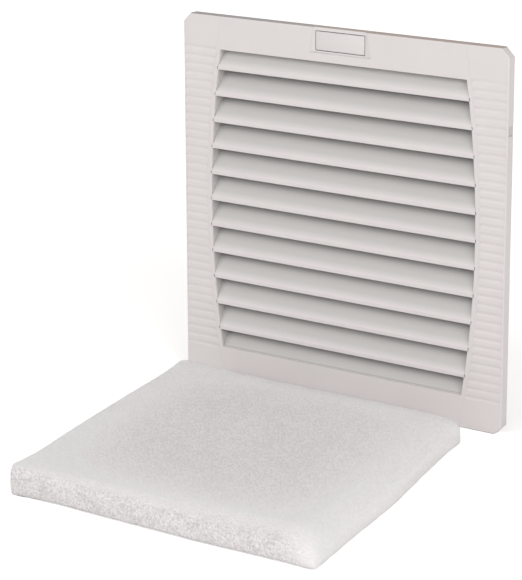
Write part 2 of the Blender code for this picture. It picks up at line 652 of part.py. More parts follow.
def make_base_frame(root, plastic):
    """The base frame: flange, plug, bulkhead, keeper, hinge ears, clip windows and screw holes."""
    beyond = 0.001
    flange = prism(cut_square(FLANGE_HALF, CORNER_CUT), FLANGE_FRONT, FLANGE_REAR)
    frame = root.add("base_frame", flange, plastic)
    plug = root.add("plug_shape", prism(cut_square(PLUG_HALF, PLUG_WALL), FLANGE_REAR - beyond, PLUG_REAR))
    combine(frame, "UNION", [plug])
    inner = prism(cut_square(PLUG_INNER_HALF, PLUG_WALL / 2), FLANGE_FRONT - beyond, BULKHEAD_FRONT)
    cutters = [root.add("plug_hollow", inner)]
    reach = (BULKHEAD_FRONT - beyond, PLUG_REAR + beyond)
    cutters.append(root.add("fan_opening", cylinder(FAN_CENTRE, FAN_BORE_RADIUS, *reach, "y", ROUND)))
    for point in fan_hole_points():
        hole = cylinder(point, SCREW_RADIUS + PIN_GAP, *reach, "y", SMALL)
        cutters.append(root.add("fan_screw_hole", hole))
    for x, _ in hinge_stations():
        for side in (-1, 1):
            inside = x + side * EAR_WIDTH / 2
            low, high = sorted((inside, inside + side * (LUG_WIDTH + 2 * SIDE_GAP)))
            top = HINGE_Z + KNUCKLE_RADIUS + SIDE_GAP
            notch = box((low, FLANGE_FRONT - beyond, 0), (high, FLANGE_REAR + beyond / 4, top))
            cutters.append(root.add("lug_notch", notch))
    for side_x in (-1, 1):
        for side_z in (-1, 1):
            middle = MIDDLE_Z + side_z * CLIP_SPREAD
            near, far = sorted((side_x * (PLUG_INNER_HALF - beyond), side_x * (PLUG_HALF + beyond)))
            half = CLIP_HEIGHT / 2 + SIDE_GAP
            front, rear = CLIP_FRONT_Y - beyond, CLIP_PIVOT_Y + CLIP_HUB_RADIUS + SIDE_GAP
            window = box((near, front, middle - half), (far, rear, middle + half))
            cutters.append(root.add("clip_window", window))
    combine(frame, "DIFFERENCE", cutters)

    joined = []
    keeper_low = (-KEEPER_HALF, KEEPER_FRONT, keeper_bottom())
    keeper_high = (KEEPER_HALF, KEEPER_FRONT + KEEPER_THICKNESS, MIDDLE_Z + PLUG_INNER_HALF + beyond)
    joined.append(root.add("keeper_shape", box(keeper_low, keeper_high)))
    for x, _ in hinge_stations():
        low, high = x - EAR_WIDTH / 2, x + EAR_WIDTH / 2
        knuckle = cylinder((0, HINGE_Y, HINGE_Z), KNUCKLE_RADIUS, low, high, "x", SMALL)
        joined.append(root.add("ear_shape", knuckle))
        web = box((low, FLANGE_FRONT, HINGE_Z), (high, FLANGE_REAR, MIDDLE_Z - FLANGE_HALF + 2 * beyond))
        joined.append(root.add("ear_web", web))
    for side_x in (-1, 1):
        for side_z in (-1, 1):
            middle = MIDDLE_Z + side_z * CLIP_SPREAD
            for end in (-1, 1):
                start = middle + end * (CLIP_HEIGHT / 2 + SIDE_GAP)
                low_z, high_z = sorted((start, start + end * CLIP_BOSS))
                pivot = side_x * CLIP_PIVOT_X
                near, far = sorted((pivot - side_x * CLIP_HUB_RADIUS, side_x * (PLUG_INNER_HALF + beyond)))
                low = (near, CLIP_PIVOT_Y - CLIP_HUB_RADIUS, low_z)
                joined.append(root.add("clip_boss", box(low, (far, CLIP_PIVOT_Y + CLIP_HUB_RADIUS, high_z))))
    combine(frame, "UNION", joined)

    bores = []
    for x, _ in hinge_stations():
        reach = EAR_WIDTH / 2 + beyond / 4
        bore = cylinder((0, HINGE_Y, HINGE_Z), PIN_RADIUS + PIN_GAP, x - reach, x + reach, "x", SMALL)
        bores.append(root.add("ear_bore", bore))
    for name, side_x, middle in clip_stations():
        reach = CLIP_HEIGHT / 2 + SIDE_GAP + CLIP_BOSS + beyond
        centre = (side_x * CLIP_PIVOT_X, CLIP_PIVOT_Y, 0)
        bore = cylinder(centre, PIN_RADIUS + PIN_GAP, middle - reach, middle + reach, "z", SMALL)
        bores.append(root.add(f"{name}_bore", bore))
    combine(frame, "DIFFERENCE", bores)


def keeper_bottom():
    return TONGUE_TOP + BARB_HEIGHT - KEEPER_BITE


def clip_stations():
    found = []
    for side_x, across in ((-1, "left"), (1, "right")):
        for side_z, height in ((-1, "lower"), (1, "upper")):
            found.append((f"{height}_{across}", side_x, MIDDLE_Z + side_z * CLIP_SPREAD))
    return found


def fan_hole_points():
    """Centres of the fan's four fixing holes, clockwise from the upper right."""
    points = []
    for side_x, side_z in ((1, 1), (1, -1), (-1, -1), (-1, 1)):
        x = side_x * FAN_HOLE_RING * math.cos(FAN_HOLE_ANGLE)
        z = side_z * FAN_HOLE_RING * math.sin(FAN_HOLE_ANGLE)
        points.append(Vector((x, 0, MIDDLE_Z + z)))
    return points


def make_gasket(root, foam):
    ring = prism(cut_square(GASKET_HALF, CORNER_CUT), GASKET_FRONT, DOOR_SEAT_Y)
    gasket = root.add("door_gasket", ring, foam)
    inner = prism(cut_square(GASKET_INNER_HALF, PLUG_WALL), GASKET_FRONT - GAP, DOOR_SEAT_Y + GAP)
    combine(gasket, "DIFFERENCE", [root.add("gasket_hole", inner)])


def make_support_grille(root, plastic):
    """The grid behind the filter: a rim and crossing bars, drawn as one sheet of cells and thickened."""
    inner = GRILLE_HALF - GRILLE_RIM
    pitch = (2 * inner + GRILLE_BAR) / GRILLE_CELLS
    lines = [-GRILLE_HALF]
    for n in range(GRILLE_CELLS):
        lines += [-inner + n * pitch, -inner + (n + 1) * pitch - GRILLE_BAR]
    lines.append(GRILLE_HALF)
    sheet = bmesh.new()
    corners = [[sheet.verts.new((x, GRILLE_FRONT, MIDDLE_Z + z)) for z in lines] for x in lines]
    for i in range(len(lines) - 1):
        for j in range(len(lines) - 1):
            if i % 2 == 0 or j % 2 == 0:
                sheet.faces.new((corners[i][j], corners[i + 1][j], corners[i + 1][j + 1], corners[i][j + 1]))
    made = bmesh.ops.extrude_face_region(sheet, geom=list(sheet.faces))["geom"]
    moved = [item for item in made if isinstance(item, bmesh.types.BMVert)]
    bmesh.ops.translate(sheet, verts=moved, vec=(0, GRILLE_THICKNESS, 0))
    root.add("support_grille", sheet, plastic)


def mat_corners():
    """The mat's four corners: it lies a little turned and skewed, and is wider at the front."""
    middle = Vector((MAT_MIDDLE_X, MAT_MIDDLE_Y))
    across = Vector((math.cos(MAT_TURN), math.sin(MAT_TURN)))
    forward = Vector((math.sin(MAT_SKEW), -math.cos(MAT_SKEW)))
    corners = []
    for end, sides in ((1, (-1, 1)), (-1, (1, -1))):
        for side in sides:
            reach = side * (MAT_WIDTH + end * MAT_TAPER) / 2
            corners.append(middle + forward * end * MAT_LENGTH / 2 + across * reach)
    return corners


def make_filter_mat(root, fibre):
    """The loose mat, lying in front of the cover at the height of its lower edge."""
    outline = []
    steps = 4
    corners = mat_corners()
    for n, point in enumerate(corners):
        back = (corners[n - 1] - point).normalized() * MAT_CORNER_RADIUS
        ahead = (corners[(n + 1) % len(corners)] - point).normalized() * MAT_CORNER_RADIUS
        for step in range(steps + 1):
            t = step / steps
            outline.append(tuple(point + back * (1 - t) ** 2 + ahead * t**2))
    mat = prism(outline, 0.0, MAT_THICKNESS, "z")
    level = [edge for edge in mat.edges if abs(edge.verts[0].co.z - edge.verts[1].co.z) < 1e-6]
    bmesh.ops.bevel(mat, geom=level, offset=MAT_EDGE, segments=2, profile=0.5, affect="EDGES")
    root.add("filter_mat", mat, fibre)


def clip_outline(side):
    """The (x, y) outline of a snap clip: an arm from the pivot, with a crest that catches the door."""
    outer = CLIP_PIVOT_X + CLIP_HUB_RADIUS - SIDE_GAP / 2
    inner = outer - CLIP_ARM
    crest = PLUG_HALF + CLIP_PROUD
    points = [
        (inner, CLIP_PIVOT_Y),
        (inner, CLIP_FRONT_Y),
        (outer, CLIP_FRONT_Y),
        (crest, CLIP_CREST_Y),
        (crest, CLIP_CREST_Y + CLIP_ARM / 4),
        (outer, CLIP_PIVOT_Y - CLIP_HUB_RADIUS),
        (outer, CLIP_PIVOT_Y),
    ]
    return [(side * x, y) for x, y in points]


def make_clips(root, plastic, steel):
    """Four sprung clips on pins, which swing in as the plug enters the door and catch behind it."""
    for name, side, middle in clip_stations():
        pivot = (side * CLIP_PIVOT_X, CLIP_PIVOT_Y, middle)
        carrier = Carrier(f"{name}_clip_pivot", pivot, root)
        low, high = middle - CLIP_HEIGHT / 2, middle + CLIP_HEIGHT / 2
        clip = carrier.add(f"door_clip_{name}", prism(clip_outline(side), low, high, "z"), plastic)
        hub = cylinder(pivot, CLIP_HUB_RADIUS, low, high, "z", SMALL)
        combine(clip, "UNION", [carrier.add(f"{name}_hub", hub)])
        bore = cylinder(pivot, PIN_RADIUS + PIN_GAP, low - GAP, high + GAP, "z", SMALL)
        combine(clip, "DIFFERENCE", [carrier.add(f"{name}_hub_bore", bore)])
        reach = CLIP_HEIGHT / 2 + SIDE_GAP + CLIP_BOSS
        pin = cylinder(pivot, PIN_RADIUS, middle - reach, middle + reach, "z", SMALL)
        smooth(root.add(f"clip_pin_{name}", pin, steel))


def fan_outline():
    """The (x, z) outline of the fan's flanges: a circle with two flats."""
    turn = math.asin(FAN_FLAT_HALF / FAN_RADIUS)
    steps = 10
    right = [FAN_RADIUS * Vector((math.cos(a), math.sin(a))) for a in
             [-turn + 2 * turn * n / steps for n in range(steps + 1)]]
    points = right + [-point for point in right]
    return [(point.x, MIDDLE_Z + point.y) for point in points]


def make_fan_frame(root, metal):
    """The cast fan frame: bore, two flanges, struts, motor plate and bearing tube."""
    beyond = 0.001
    outer = FAN_BORE_RADIUS + FAN_TUBE_WALL
    sunk = FAN_FLANGE / 2
    barrel = cylinder(FAN_CENTRE, outer, FAN_FRONT + sunk, FAN_REAR - sunk, "y", ROUND)
    frame = root.add("fan_frame", barrel, metal)
    flanges = [
        root.add("front_flange", prism(fan_outline(), FAN_FRONT, FAN_FRONT + FAN_FLANGE)),
        root.add("rear_flange", prism(fan_outline(), FAN_REAR - FAN_FLANGE, FAN_REAR)),
    ]
    combine(frame, "UNION", flanges)
    air = cylinder(FAN_CENTRE, FAN_BORE_RADIUS, FAN_FRONT - beyond, FAN_REAR + beyond, "y", ROUND)
    cutters = [root.add("fan_bore", air)]
    for point in fan_hole_points():
        hole = cylinder(point, FAN_HOLE_RADIUS, FAN_FRONT - beyond, FAN_REAR + beyond, "y", SMALL)
        cutters.append(root.add("fan_hole", hole))
    combine(frame, "DIFFERENCE", cutters)
    plate = cylinder(FAN_CENTRE, MOTOR_PLATE_RADIUS, MOTOR_PLATE_FRONT, FAN_REAR, "y", ROUND)
    joined = [root.add("motor_plate", plate)]
    reach = FAN_BORE_RADIUS + FAN_TUBE_WALL / 2
    for n in range(4):
        turn = Matrix.Rotation(math.radians(45 + 90 * n), 4, "Y")
        strut = box((0, 0, -STRUT_WIDTH / 2), (reach, STRUT_DEPTH, STRUT_WIDTH / 2))
        bmesh.ops.translate(strut, verts=strut.verts, vec=(MOTOR_PLATE_RADIUS / 2, 0, 0))
        for corner in strut.verts:
            corner.co.x = min(corner.co.x, reach)
        bmesh.ops.transform(strut, matrix=turn, verts=strut.verts)
        rear = FAN_REAR - STRUT_DEPTH - GAP
        bmesh.ops.translate(strut, verts=strut.verts, vec=(0, rear, MIDDLE_Z))
        joined.append(root.add("strut_shape", strut))
    bush = cylinder(FAN_CENTRE, BEARING_TUBE_OUTER, BEARING_TUBE_FRONT, FAN_REAR - beyond, "y", MEDIUM)
    joined.append(root.add("bearing_tube", bush))
    combine(frame, "UNION", joined)
    hollow_front = BEARING_TUBE_FRONT - beyond
    hollow = cylinder(FAN_CENTRE, BEARING_TUBE_RADIUS, hollow_front, MOTOR_PLATE_FRONT, "y", MEDIUM)
    combine(frame, "DIFFERENCE", [root.add("bearing_tube_hollow", hollow)])


def make_stator(root, iron, copper):
    """The motor's fixed part: a four-pole core and the coil on each pole."""
    front = BEARING_TUBE_FRONT + BEARING_LENGTH / 4
    rear = front + STATOR_STACK
    inner = BEARING_TUBE_OUTER + GAP
    core = root.add("stator_core", tube(FAN_CENTRE, inner, inner + STATOR_YOKE, front, rear), iron)
    poles = []
    turn = math.acos(POLE_SHOE / STATOR_RADIUS)
    steps = 6
    bend = [-turn + 2 * turn * n / steps for n in range(steps + 1)]
    half = POLE_WIDTH / 2
    start = inner + STATOR_YOKE / 2
    outline = [(start, -half), (POLE_SHOE, -half)]
    outline += [(STATOR_RADIUS * math.cos(a), STATOR_RADIUS * math.sin(a)) for a in bend]
    outline += [(POLE_SHOE, half), (start, half)]
    for n in range(4):
        turn_to = Matrix.Rotation(math.radians(90 * n), 2)
        around = [turn_to @ Vector(point) for point in outline]
        points = [(point.x, MIDDLE_Z + point.y) for point in around]
        poles.append(root.add("pole_shape", prism(points, front, rear)))
        window = half + GAP
        outer = window + COIL_WALL
        near = inner + STATOR_YOKE + GAP
        far = POLE_SHOE - GAP
        turn_space = Matrix.Translation(FAN_CENTRE) @ Matrix.Rotation(math.radians(-90 * n), 4, "Y")
        coil_shape = box((near, front - GAP - COIL_WALL, -outer), (far, rear + GAP + COIL_WALL, outer))
        bmesh.ops.transform(coil_shape, matrix=turn_space, verts=coil_shape.verts)
        coil = root.add(f"motor_coil_{n + 1}", coil_shape, copper)
        hole_shape = box((near - GAP, front - GAP, -window), (far + GAP, rear + GAP, window))
        bmesh.ops.transform(hole_shape, matrix=turn_space, verts=hole_shape.verts)
        combine(coil, "DIFFERENCE", [root.add("coil_window", hole_shape)])
    combine(core, "UNION", poles)


def make_bearings(root, steel):
    spots = {
        "bearing_front": BEARING_TUBE_FRONT + GAP,
        "bearing_rear": MOTOR_PLATE_FRONT - BEARING_LENGTH - CLIP_RING_THICKNESS - 3 * GAP,
    }
    for name, start in spots.items():
        shape = tube(FAN_CENTRE, SHAFT_RADIUS + PIN_GAP, BEARING_RADIUS, start, start + BEARING_LENGTH, SMALL)
        smooth(root.add(name, shape, steel))


def blade_section(radius):
    """The (turn, along) outline of an impeller blade where it crosses a cylinder of this radius."""
    share = (radius - HUB_RADIUS) / (FAN_BORE_RADIUS - HUB_RADIUS)
    pitch = BLADE_ROOT_PITCH + (BLADE_TIP_PITCH - BLADE_ROOT_PITCH) * share
    chord = BLADE_ROOT_CHORD + (BLADE_TIP_CHORD - BLADE_ROOT_CHORD) * share
    sweep = math.radians(14) * share
    upper, lower = [], []
    steps = 5
    for n in range(steps + 1):
        t = n / steps
        along = (t - 0.5) * chord
        bend = FAN_BLADE_CAMBER_RATIO * chord * 4 * t * (1 - t)
        half = FAN_BLADE_THICKNESS / 2 * (0.35 + 0.65 * math.sin(math.pi * t))
        for side, offset in ((upper, bend + half), (lower, bend - half)):
            arc = along * math.cos(pitch) - offset * math.sin(pitch)
            axial = along * math.sin(pitch) + offset * math.cos(pitch)
            side.append((arc / radius + sweep, axial))
    return upper + lower[::-1]


def make_impeller(spin, plastic):
    """The impeller: a hub cup that the rotor sits in, with twisted blades round it."""
    rear = HUB_FRONT + HUB_LENGTH
    profile = [
        (0, HUB_FRONT),
        (HUB_RADIUS - HUB_WALL, HUB_FRONT),
        (HUB_RADIUS, HUB_FRONT + HUB_WALL),
        (HUB_RADIUS, rear),
        (HUB_RADIUS - HUB_WALL, rear),
        (HUB_RADIUS - HUB_WALL, HUB_FRONT + HUB_WALL),
        (0, HUB_FRONT + HUB_WALL),
    ]
    hub = spin.add("impeller", turned(profile, FAN_CENTRE, "y", ROUND), plastic)
    stations = 4
    inner, outer = HUB_RADIUS - HUB_WALL / 2, FAN_BORE_RADIUS - BLADE_TIP_GAP
    radii = [inner + (outer - inner) * n / (stations - 1) for n in range(stations)]
    middle = HUB_FRONT + HUB_LENGTH / 2
    blades = []
    for blade in range(BLADES):
        start = math.tau * blade / BLADES
        shape = bmesh.new()
        loops = []
        for radius in radii:
            points = [(start + turn, middle + along) for turn, along in blade_section(radius)]
            loops.append([shape.verts.new((radius * math.cos(a), y, MIDDLE_Z + radius * math.sin(a)))
                          for a, y in points])
        shape.faces.new(loops[0])
        shape.faces.new(loops[-1])
        for first, second in zip(loops, loops[1:]):
            for n in range(len(first)):
                shape.faces.new((first[n - 1], first[n], second[n], second[n - 1]))
        blades.append(spin.add("impeller_blade", shape))
    combine(hub, "UNION", blades)
    smooth(hub)


def make_rotor(spin, iron, steel):
    rear = ROTOR_FRONT + ROTOR_LENGTH
    bore = SHAFT_RADIUS + PIN_GAP
    profile = [
        (bore, ROTOR_FRONT),
        (ROTOR_RADIUS, ROTOR_FRONT),
        (ROTOR_RADIUS, rear),
        (ROTOR_RADIUS - ROTOR_WALL, rear),
        (ROTOR_RADIUS - ROTOR_WALL, ROTOR_FRONT + ROTOR_WALL),
        (bore, ROTOR_FRONT + ROTOR_WALL),
    ]
    smooth(spin.add("rotor_cup", turned(profile, FAN_CENTRE, "y", MEDIUM, ring=True), iron))
    shaft_front, shaft_rear = ROTOR_FRONT, MOTOR_PLATE_FRONT - GAP
    shaft = cylinder(FAN_CENTRE, SHAFT_RADIUS, shaft_front, shaft_rear, "y", SMALL)
    smooth(spin.add("rotor_shaft", shaft, steel))
    ring_rear = MOTOR_PLATE_FRONT - 2 * GAP
    ring_front = ring_rear - CLIP_RING_THICKNESS
    ring = tube(FAN_CENTRE, bore, CLIP_RING_RADIUS, ring_front, ring_rear, SMALL)
    smooth(spin.add("shaft_clip", ring, steel))


def make_guard(root, steel):
    """The finger guard: rings of wire on four spokes, each ending in a loop round a screw."""
    centre = (0, GUARD_Y, MIDDLE_Z)
    guard = root.add("finger_guard", wire_ring(centre, GUARD_RING_STEP, SMALL), steel)
    joined = []
    for n in range(2, GUARD_RINGS + 1):
        joined.append(root.add("guard_ring", wire_ring(centre, n * GUARD_RING_STEP, GUARD_SIDES)))
    for point in fan_hole_points():
        out = (point - FAN_CENTRE).normalized()
        lift = Vector((0, GUARD_Y + WIRE_RADIUS / 3, 0))
        start = FAN_CENTRE + lift + out * (GUARD_RING_STEP - WIRE_RADIUS / 2)
        end = FAN_CENTRE + lift + out * (FAN_HOLE_RING - GUARD_LOOP_RADIUS)
        joined.append(root.add("guard_spoke", rod(start, end, WIRE_RADIUS * 0.95)))
        joined.append(root.add("guard_loop", wire_ring((point.x, GUARD_Y, point.z), GUARD_LOOP_RADIUS, TINY)))
    combine(guard, "UNION", joined)
    smooth(guard, 50)


def slotted_screw(carrier, name, finish, centre, radius, head_radius, head, tip, seat, sides=SMALL):
    """A screw along Y whose head sits behind the seat, with a driver slot in the head."""
    end = seat + head
    profile = [(0, tip), (radius, tip), (radius, seat), (head_radius, seat), (head_radius, end), (0, end)]
    screw = carrier.add(name, turned(profile, centre, "y", sides), finish)
    low = (centre[0] - 2 * head_radius, end - head / 2, centre[2] - SLOT_WIDTH / 2)
    high = (centre[0] + 2 * head_radius, end + head, centre[2] + SLOT_WIDTH / 2)
    combine(screw, "DIFFERENCE", [carrier.add("driver_slot", box(low, high))])
    smooth(screw)


def make_fan_screws(root, steel):
    """The screws through guard, fan frame and bulkhead."""
    seat = GUARD_Y + WIRE_RADIUS + GAP
    tip = PLUG_REAR - SCREW_BITE
    for n, point in enumerate(fan_hole_points()):
        slotted_screw(root, f"fan_screw_{n + 1}", steel, point, SCREW_RADIUS, SCREW_HEAD_RADIUS, SCREW_HEAD,
                      tip, seat)


def make_terminals(root, plastic, brass):
    """The terminal block for the supply, with one clamping screw for each wire."""
    x, z = TERMINAL_SIDE_INSET - PLUG_HALF, MIDDLE_Z - PLUG_HALF + TERMINAL_LOW_INSET
    front = PLUG_REAR + GAP
    rear = front + TERMINAL_DEPTH
    width = TERMINAL_PITCH * (TERMINALS - 1) + 2 * TERMINAL_END
    top = z + TERMINAL_HEIGHT
    block = root.add("terminal_block", box((x, front, z), (x + width, rear, top)), plastic)
    cutters = []
    screws = [x + TERMINAL_END + n * TERMINAL_PITCH for n in range(TERMINALS)]
    middle = z + TERMINAL_HEIGHT / 2
    well_front = rear - TERMINAL_WELL_DEPTH
    for spot in screws:
        well = cylinder((spot, 0, middle), TERMINAL_WELL_RADIUS, well_front, rear + GAP, "y", SMALL)
        cutters.append(root.add("terminal_well", well))
        entry_centre = (spot, well_front + WIRE_ENTRY_RADIUS, 0)
        entry = cylinder(entry_centre, WIRE_ENTRY_RADIUS, z - GAP, middle, "z", TINY)
        cutters.append(root.add("wire_entry", entry))
    combine(block, "DIFFERENCE", cutters)
    for n, spot in enumerate(screws):
        tip = well_front + 2 * WIRE_ENTRY_RADIUS + GAP
        end = tip + TERMINAL_SCREW_LENGTH
        profile = [(0, tip), (TERMINAL_SCREW_RADIUS, tip), (TERMINAL_SCREW_RADIUS, end), (0, end)]
        screw = root.add(f"terminal_screw_{n + 1}", turned(profile, (spot, 0, middle), "y", SMALL), brass)
        low = (spot - 2 * TERMINAL_SCREW_RADIUS, end - SLOT_WIDTH, middle - SLOT_WIDTH / 2)
        high = (spot + 2 * TERMINAL_SCREW_RADIUS, end + SLOT_WIDTH, middle + SLOT_WIDTH / 2)
        combine(screw, "DIFFERENCE", [root.add("terminal_slot", box(low, high))])
        smooth(screw)


def main():
    clear_scene()
    light_grey = material("Light grey ABS", (0.71, 0.68, 0.67), 0.5)
    inner_grey = material("Grey ABS", (0.60, 0.59, 0.58), 0.55)
    black = material("Black plastic", (0.03, 0.03, 0.035), 0.45)
    foam = material("Black foam", (0.025, 0.025, 0.025), 0.95)
    fibre = material("White filter fibre", (0.80, 0.79, 0.79), 0.95)
    cast = material("Die-cast aluminium", (0.06, 0.06, 0.065), 0.5, 0.6)
    spring_steel = material("Spring steel", (0.55, 0.55, 0.56), 0.3, 1.0)
    plated = material("Zinc plated steel", (0.62, 0.62, 0.63), 0.3, 1.0)
    iron = material("Laminated iron", (0.30, 0.30, 0.31), 0.5, 0.9)
    copper = material("Coil copper", (0.60, 0.27, 0.14), 0.4, 0.9)
    brass = material("Brass", (0.75, 0.60, 0.30), 0.3, 1.0)

    root = Carrier("filter_fan", (0, 0, 0))
    hinge = Carrier("cover_hinge", (0, HINGE_Y, HINGE_Z), root)
    slide = Carrier("button_slide", (0, BUTTON_SUNK, BUTTON_MIDDLE), hinge)
    spin = Carrier("impeller_axis", (0, HUB_FRONT, MIDDLE_Z), root)

    make_cover(hinge, light_grey)
    make_button(slide, light_grey)
    make_tongue(hinge, spring_steel, plated)
    make_hinge_pins(hinge, plated)
    make_base_frame(root, inner_grey)
    make_gasket(root, foam)
    make_support_grille(root, inner_grey)
    make_filter_mat(root, fibre)
    make_clips(root, inner_grey, plated)
    make_fan_frame(root, cast)
    make_stator(root, iron, copper)
    make_bearings(root, plated)
    make_impeller(spin, black)
    make_rotor(spin, iron, plated)
    make_guard(root, plated)
    make_fan_screws(root, plated)
    make_terminals(root, black, brass)


main()
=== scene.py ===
"""Looks of the cabinet filter fan: a finer cover with its louvres, a soft filter mat, the plastics, metals
and foam of every piece, and the camera and light of the photograph.

Shapes are drawn with the cover's front face at y = 0 and its lower edge at z = 0, in metres, and then
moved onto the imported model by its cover's own corner.
"""

import json
import math

import bmesh
import bpy
from mathutils import Matrix, Vector, noise


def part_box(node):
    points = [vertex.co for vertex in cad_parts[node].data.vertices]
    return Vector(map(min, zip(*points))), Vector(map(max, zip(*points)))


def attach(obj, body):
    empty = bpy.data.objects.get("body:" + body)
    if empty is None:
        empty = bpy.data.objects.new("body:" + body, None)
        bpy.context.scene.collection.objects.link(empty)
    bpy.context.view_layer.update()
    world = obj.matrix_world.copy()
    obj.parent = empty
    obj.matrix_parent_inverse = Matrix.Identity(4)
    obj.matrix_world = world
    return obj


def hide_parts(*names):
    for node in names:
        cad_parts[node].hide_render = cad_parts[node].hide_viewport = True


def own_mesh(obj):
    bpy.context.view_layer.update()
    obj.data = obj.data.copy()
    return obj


# Cover
SIDE = 0.250
HALF = SIDE / 2
DEPTH = 0.007
WALL = 0.0022
CORNER_CUT = 0.0058
EDGE_RADIUS = 0.0007
RIM_RADIUS = 0.0003
PRY_SLOT = (0.1944, 0.2008)
PRY_SLOT_FRONT = 0.0016
EAR_NOTCH = (0.0755, 0.0845)

# Louvre field
FIELD_LOW = 0.0217
FIELD_HIGH = 0.2274
FIELD_CORNER_HALF = 0.0948
FIELD_BULGE = 0.0082
FIELD_DEPTH = 0.013
FIELD_WALL = 0.0016
FIELD_ROUND = 0.00035
SILL_FRONT = 0.0007
SILL_STEP = 0.0004
SILL_DEPTH = 0.0028
SILL_RISE = 0.0011
BLADE_PITCH = 0.018
BLADE_COUNT = 12
TOP_BLADE_LIP = 0.2139
BLADE_LIP_HEIGHT = 0.0025
BLADE_LIP_ROUND = 0.00035
BLADE_THICKNESS = 0.0018
BLADE_REACH = 0.0122
BLADE_START_SLOPE = 2.017
BLADE_BEND = 66.7

# Hinge lugs
LUG_RADIUS = 0.0023
LUG_AXIS = (0.0054, 0.0032)
LUG_FOOT = 0.0012
LUG_SPREAD = 0.080
LUG_NEAR = 0.0045
LUG_WIDTH = 0.005

# Side bands
BAND_LINE = (0.0026, 0.0028, 0.0032, 0.0034)
BAND_LINE_DEPTH = 0.00015
RIB_COUNT = 36
RIB_HALF = 0.0018
RIB_DEPTH = 0.0004
RIB_ROUND = 0.00012

# Button recess and window
BUTTON_MIDDLE = 0.24105
WINDOW_HALF = 0.0191
WINDOW_RISE = 0.00655
RECESS_TOP_HALF = 0.0208
RECESS_BOTTOM_HALF = 0.0237
RECESS_LOW = 0.2330
RECESS_DEPTH = 0.0008
RECESS_STEP = 0.0002
RECESS_RAMP = 0.0011
RECESS_SCOOP = (0.0022, 0.0010)

# Filter mat, as in the part's source, and how far its edges roll off and belly out
MAT_WIDTH = 0.2191
MAT_LENGTH = 0.2357
MAT_MIDDLE = (0.0246, -0.1438)
MAT_TURN = math.radians(0.4)
MAT_SKEW = math.radians(11.1)
MAT_ROLL_FRONT = (0.010, 0.026)
MAT_DROP_FRONT = (0.12, 0.62)
MAT_ROLL_RIGHT = 0.024
MAT_DROP_RIGHT = (0.70, 0.40)
MAT_BELLY_RIGHT = 0.0040
MAT_BELLY_LEFT = 0.0030
MAT_BELLY_FRONT = 0.0030
MAT_CORNER_LEFT = 0.0018
MAT_CORNER_RIGHT = 0.0040
MAT_CORNER_STRETCH = 0.5
MAT_WAIST = 0.0087
MAT_GRAIN_TURN = math.radians(-35)
MAT_ACROSS = Vector((math.cos(MAT_TURN), math.sin(MAT_TURN)))
MAT_FORWARD = Vector((math.sin(MAT_SKEW), -math.cos(MAT_SKEW)))
MAT_VOXEL = 0.0036
MAT_PUFF = 0.0008
MAT_RAGGED = 0.0030

# Three families of fibre: how each is turned, and how far it is stretched
STRANDS = (
    ((0.2, 0.1, 0.3), (1, 6, 6)),
    ((1.1, 0.5, 1.4), (6, 1, 6)),
    ((0.4, 1.2, 2.3), (6, 6, 1)),
)

# Colours of painted shade deep in the louvre field, and of painted shade with a painted reflection on the
# upper edge, left and right of the middle
FIELD_PAINTED_SHADE = (0.546, 0.534, 0.522)
TOP_EDGE_SHADE_AND_REFLECTION = ((0.35, 0.332, 0.328), (0.41, 0.332, 0.295))

# Fan, as in the part's source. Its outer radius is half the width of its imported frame.
FAN_MIDDLE = 0.125
FAN_RIM = 0.014
FAN_WALL = 0.0025
FAN_FLANGE = 0.004
FAN_FLAT_CUT = 0.011
FAN_HOLE_INSET = 0.005
FAN_HOLE_ANGLE = math.radians(25)
FAN_HOLE_RADIUS = 0.0023
FAN_EDGE = 0.0005
FAN_FILLET = 0.0004
MOTOR_PLATE = (0.031, 0.004)
STRUT = 0.005
STRUT_RADIUS = 0.0012
BEARING_TUBE = (0.0043, 0.0059, 0.0205)
WIRE_RADIUS = 0.0011
WIRE_SIDES = 12
SPOKE_RADIUS = 0.00103
SPOKE_SHORT = 0.0006
GUARD_RINGS = 5
GUARD_EDGE = 0.002
GUARD_LOOP = 0.0037
FIT_GAP = 0.0003

# Spring tongue: its sheet
TONGUE_THICKNESS = 0.0008

# Photograph's camera
AZIMUTH = 35.448
ELEVATION = 15.609
ROLL = -0.234
CAMERA_PLACE = (0.8774, -1.3302, 0.51005)
LENS = 155.12

# Five places along a quarter turn, as shares of its radius
QUARTER = [math.radians(22.5 * n) for n in range(5)]
BENDS = [(1 - math.sin(a), 1 - math.cos(a)) for a in QUARTER]

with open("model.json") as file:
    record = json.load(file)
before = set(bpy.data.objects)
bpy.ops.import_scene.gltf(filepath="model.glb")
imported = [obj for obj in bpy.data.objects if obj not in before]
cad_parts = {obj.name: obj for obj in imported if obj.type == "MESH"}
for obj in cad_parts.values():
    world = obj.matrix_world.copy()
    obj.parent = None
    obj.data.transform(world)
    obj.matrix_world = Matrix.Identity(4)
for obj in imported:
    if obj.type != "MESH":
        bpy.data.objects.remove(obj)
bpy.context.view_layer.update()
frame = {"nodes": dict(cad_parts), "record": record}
ORIGIN = Vector((0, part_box("cover_grille")[0].y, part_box("cover_grille")[0].z))


# Shader helpers


def bare_tree(owner, kind):
    """The emptied node tree of a material or world, and the surface socket of its new output."""
    owner.use_nodes = True
    tree = owner.node_tree
    tree.nodes.clear()
    return tree, tree.nodes.new(kind).inputs["Surface"]


def new_material(name):
    made = bpy.data.materials.new(name)
    tree, surface = bare_tree(made, "ShaderNodeOutputMaterial")
    shader = tree.nodes.new("ShaderNodeBsdfPrincipled")
    tree.links.new(shader.outputs["BSDF"], surface)
    return made, tree, shader


def put(tree, socket, value):
    """A constant goes on the socket itself, and another socket is linked to it."""
    if isinstance(value, bpy.types.NodeSocket):
        tree.links.new(value, socket)
    elif isinstance(value, tuple) and socket.type == "RGBA" and len(value) == 3:
        socket.default_value = (*value, 1)
    else:
        socket.default_value = value


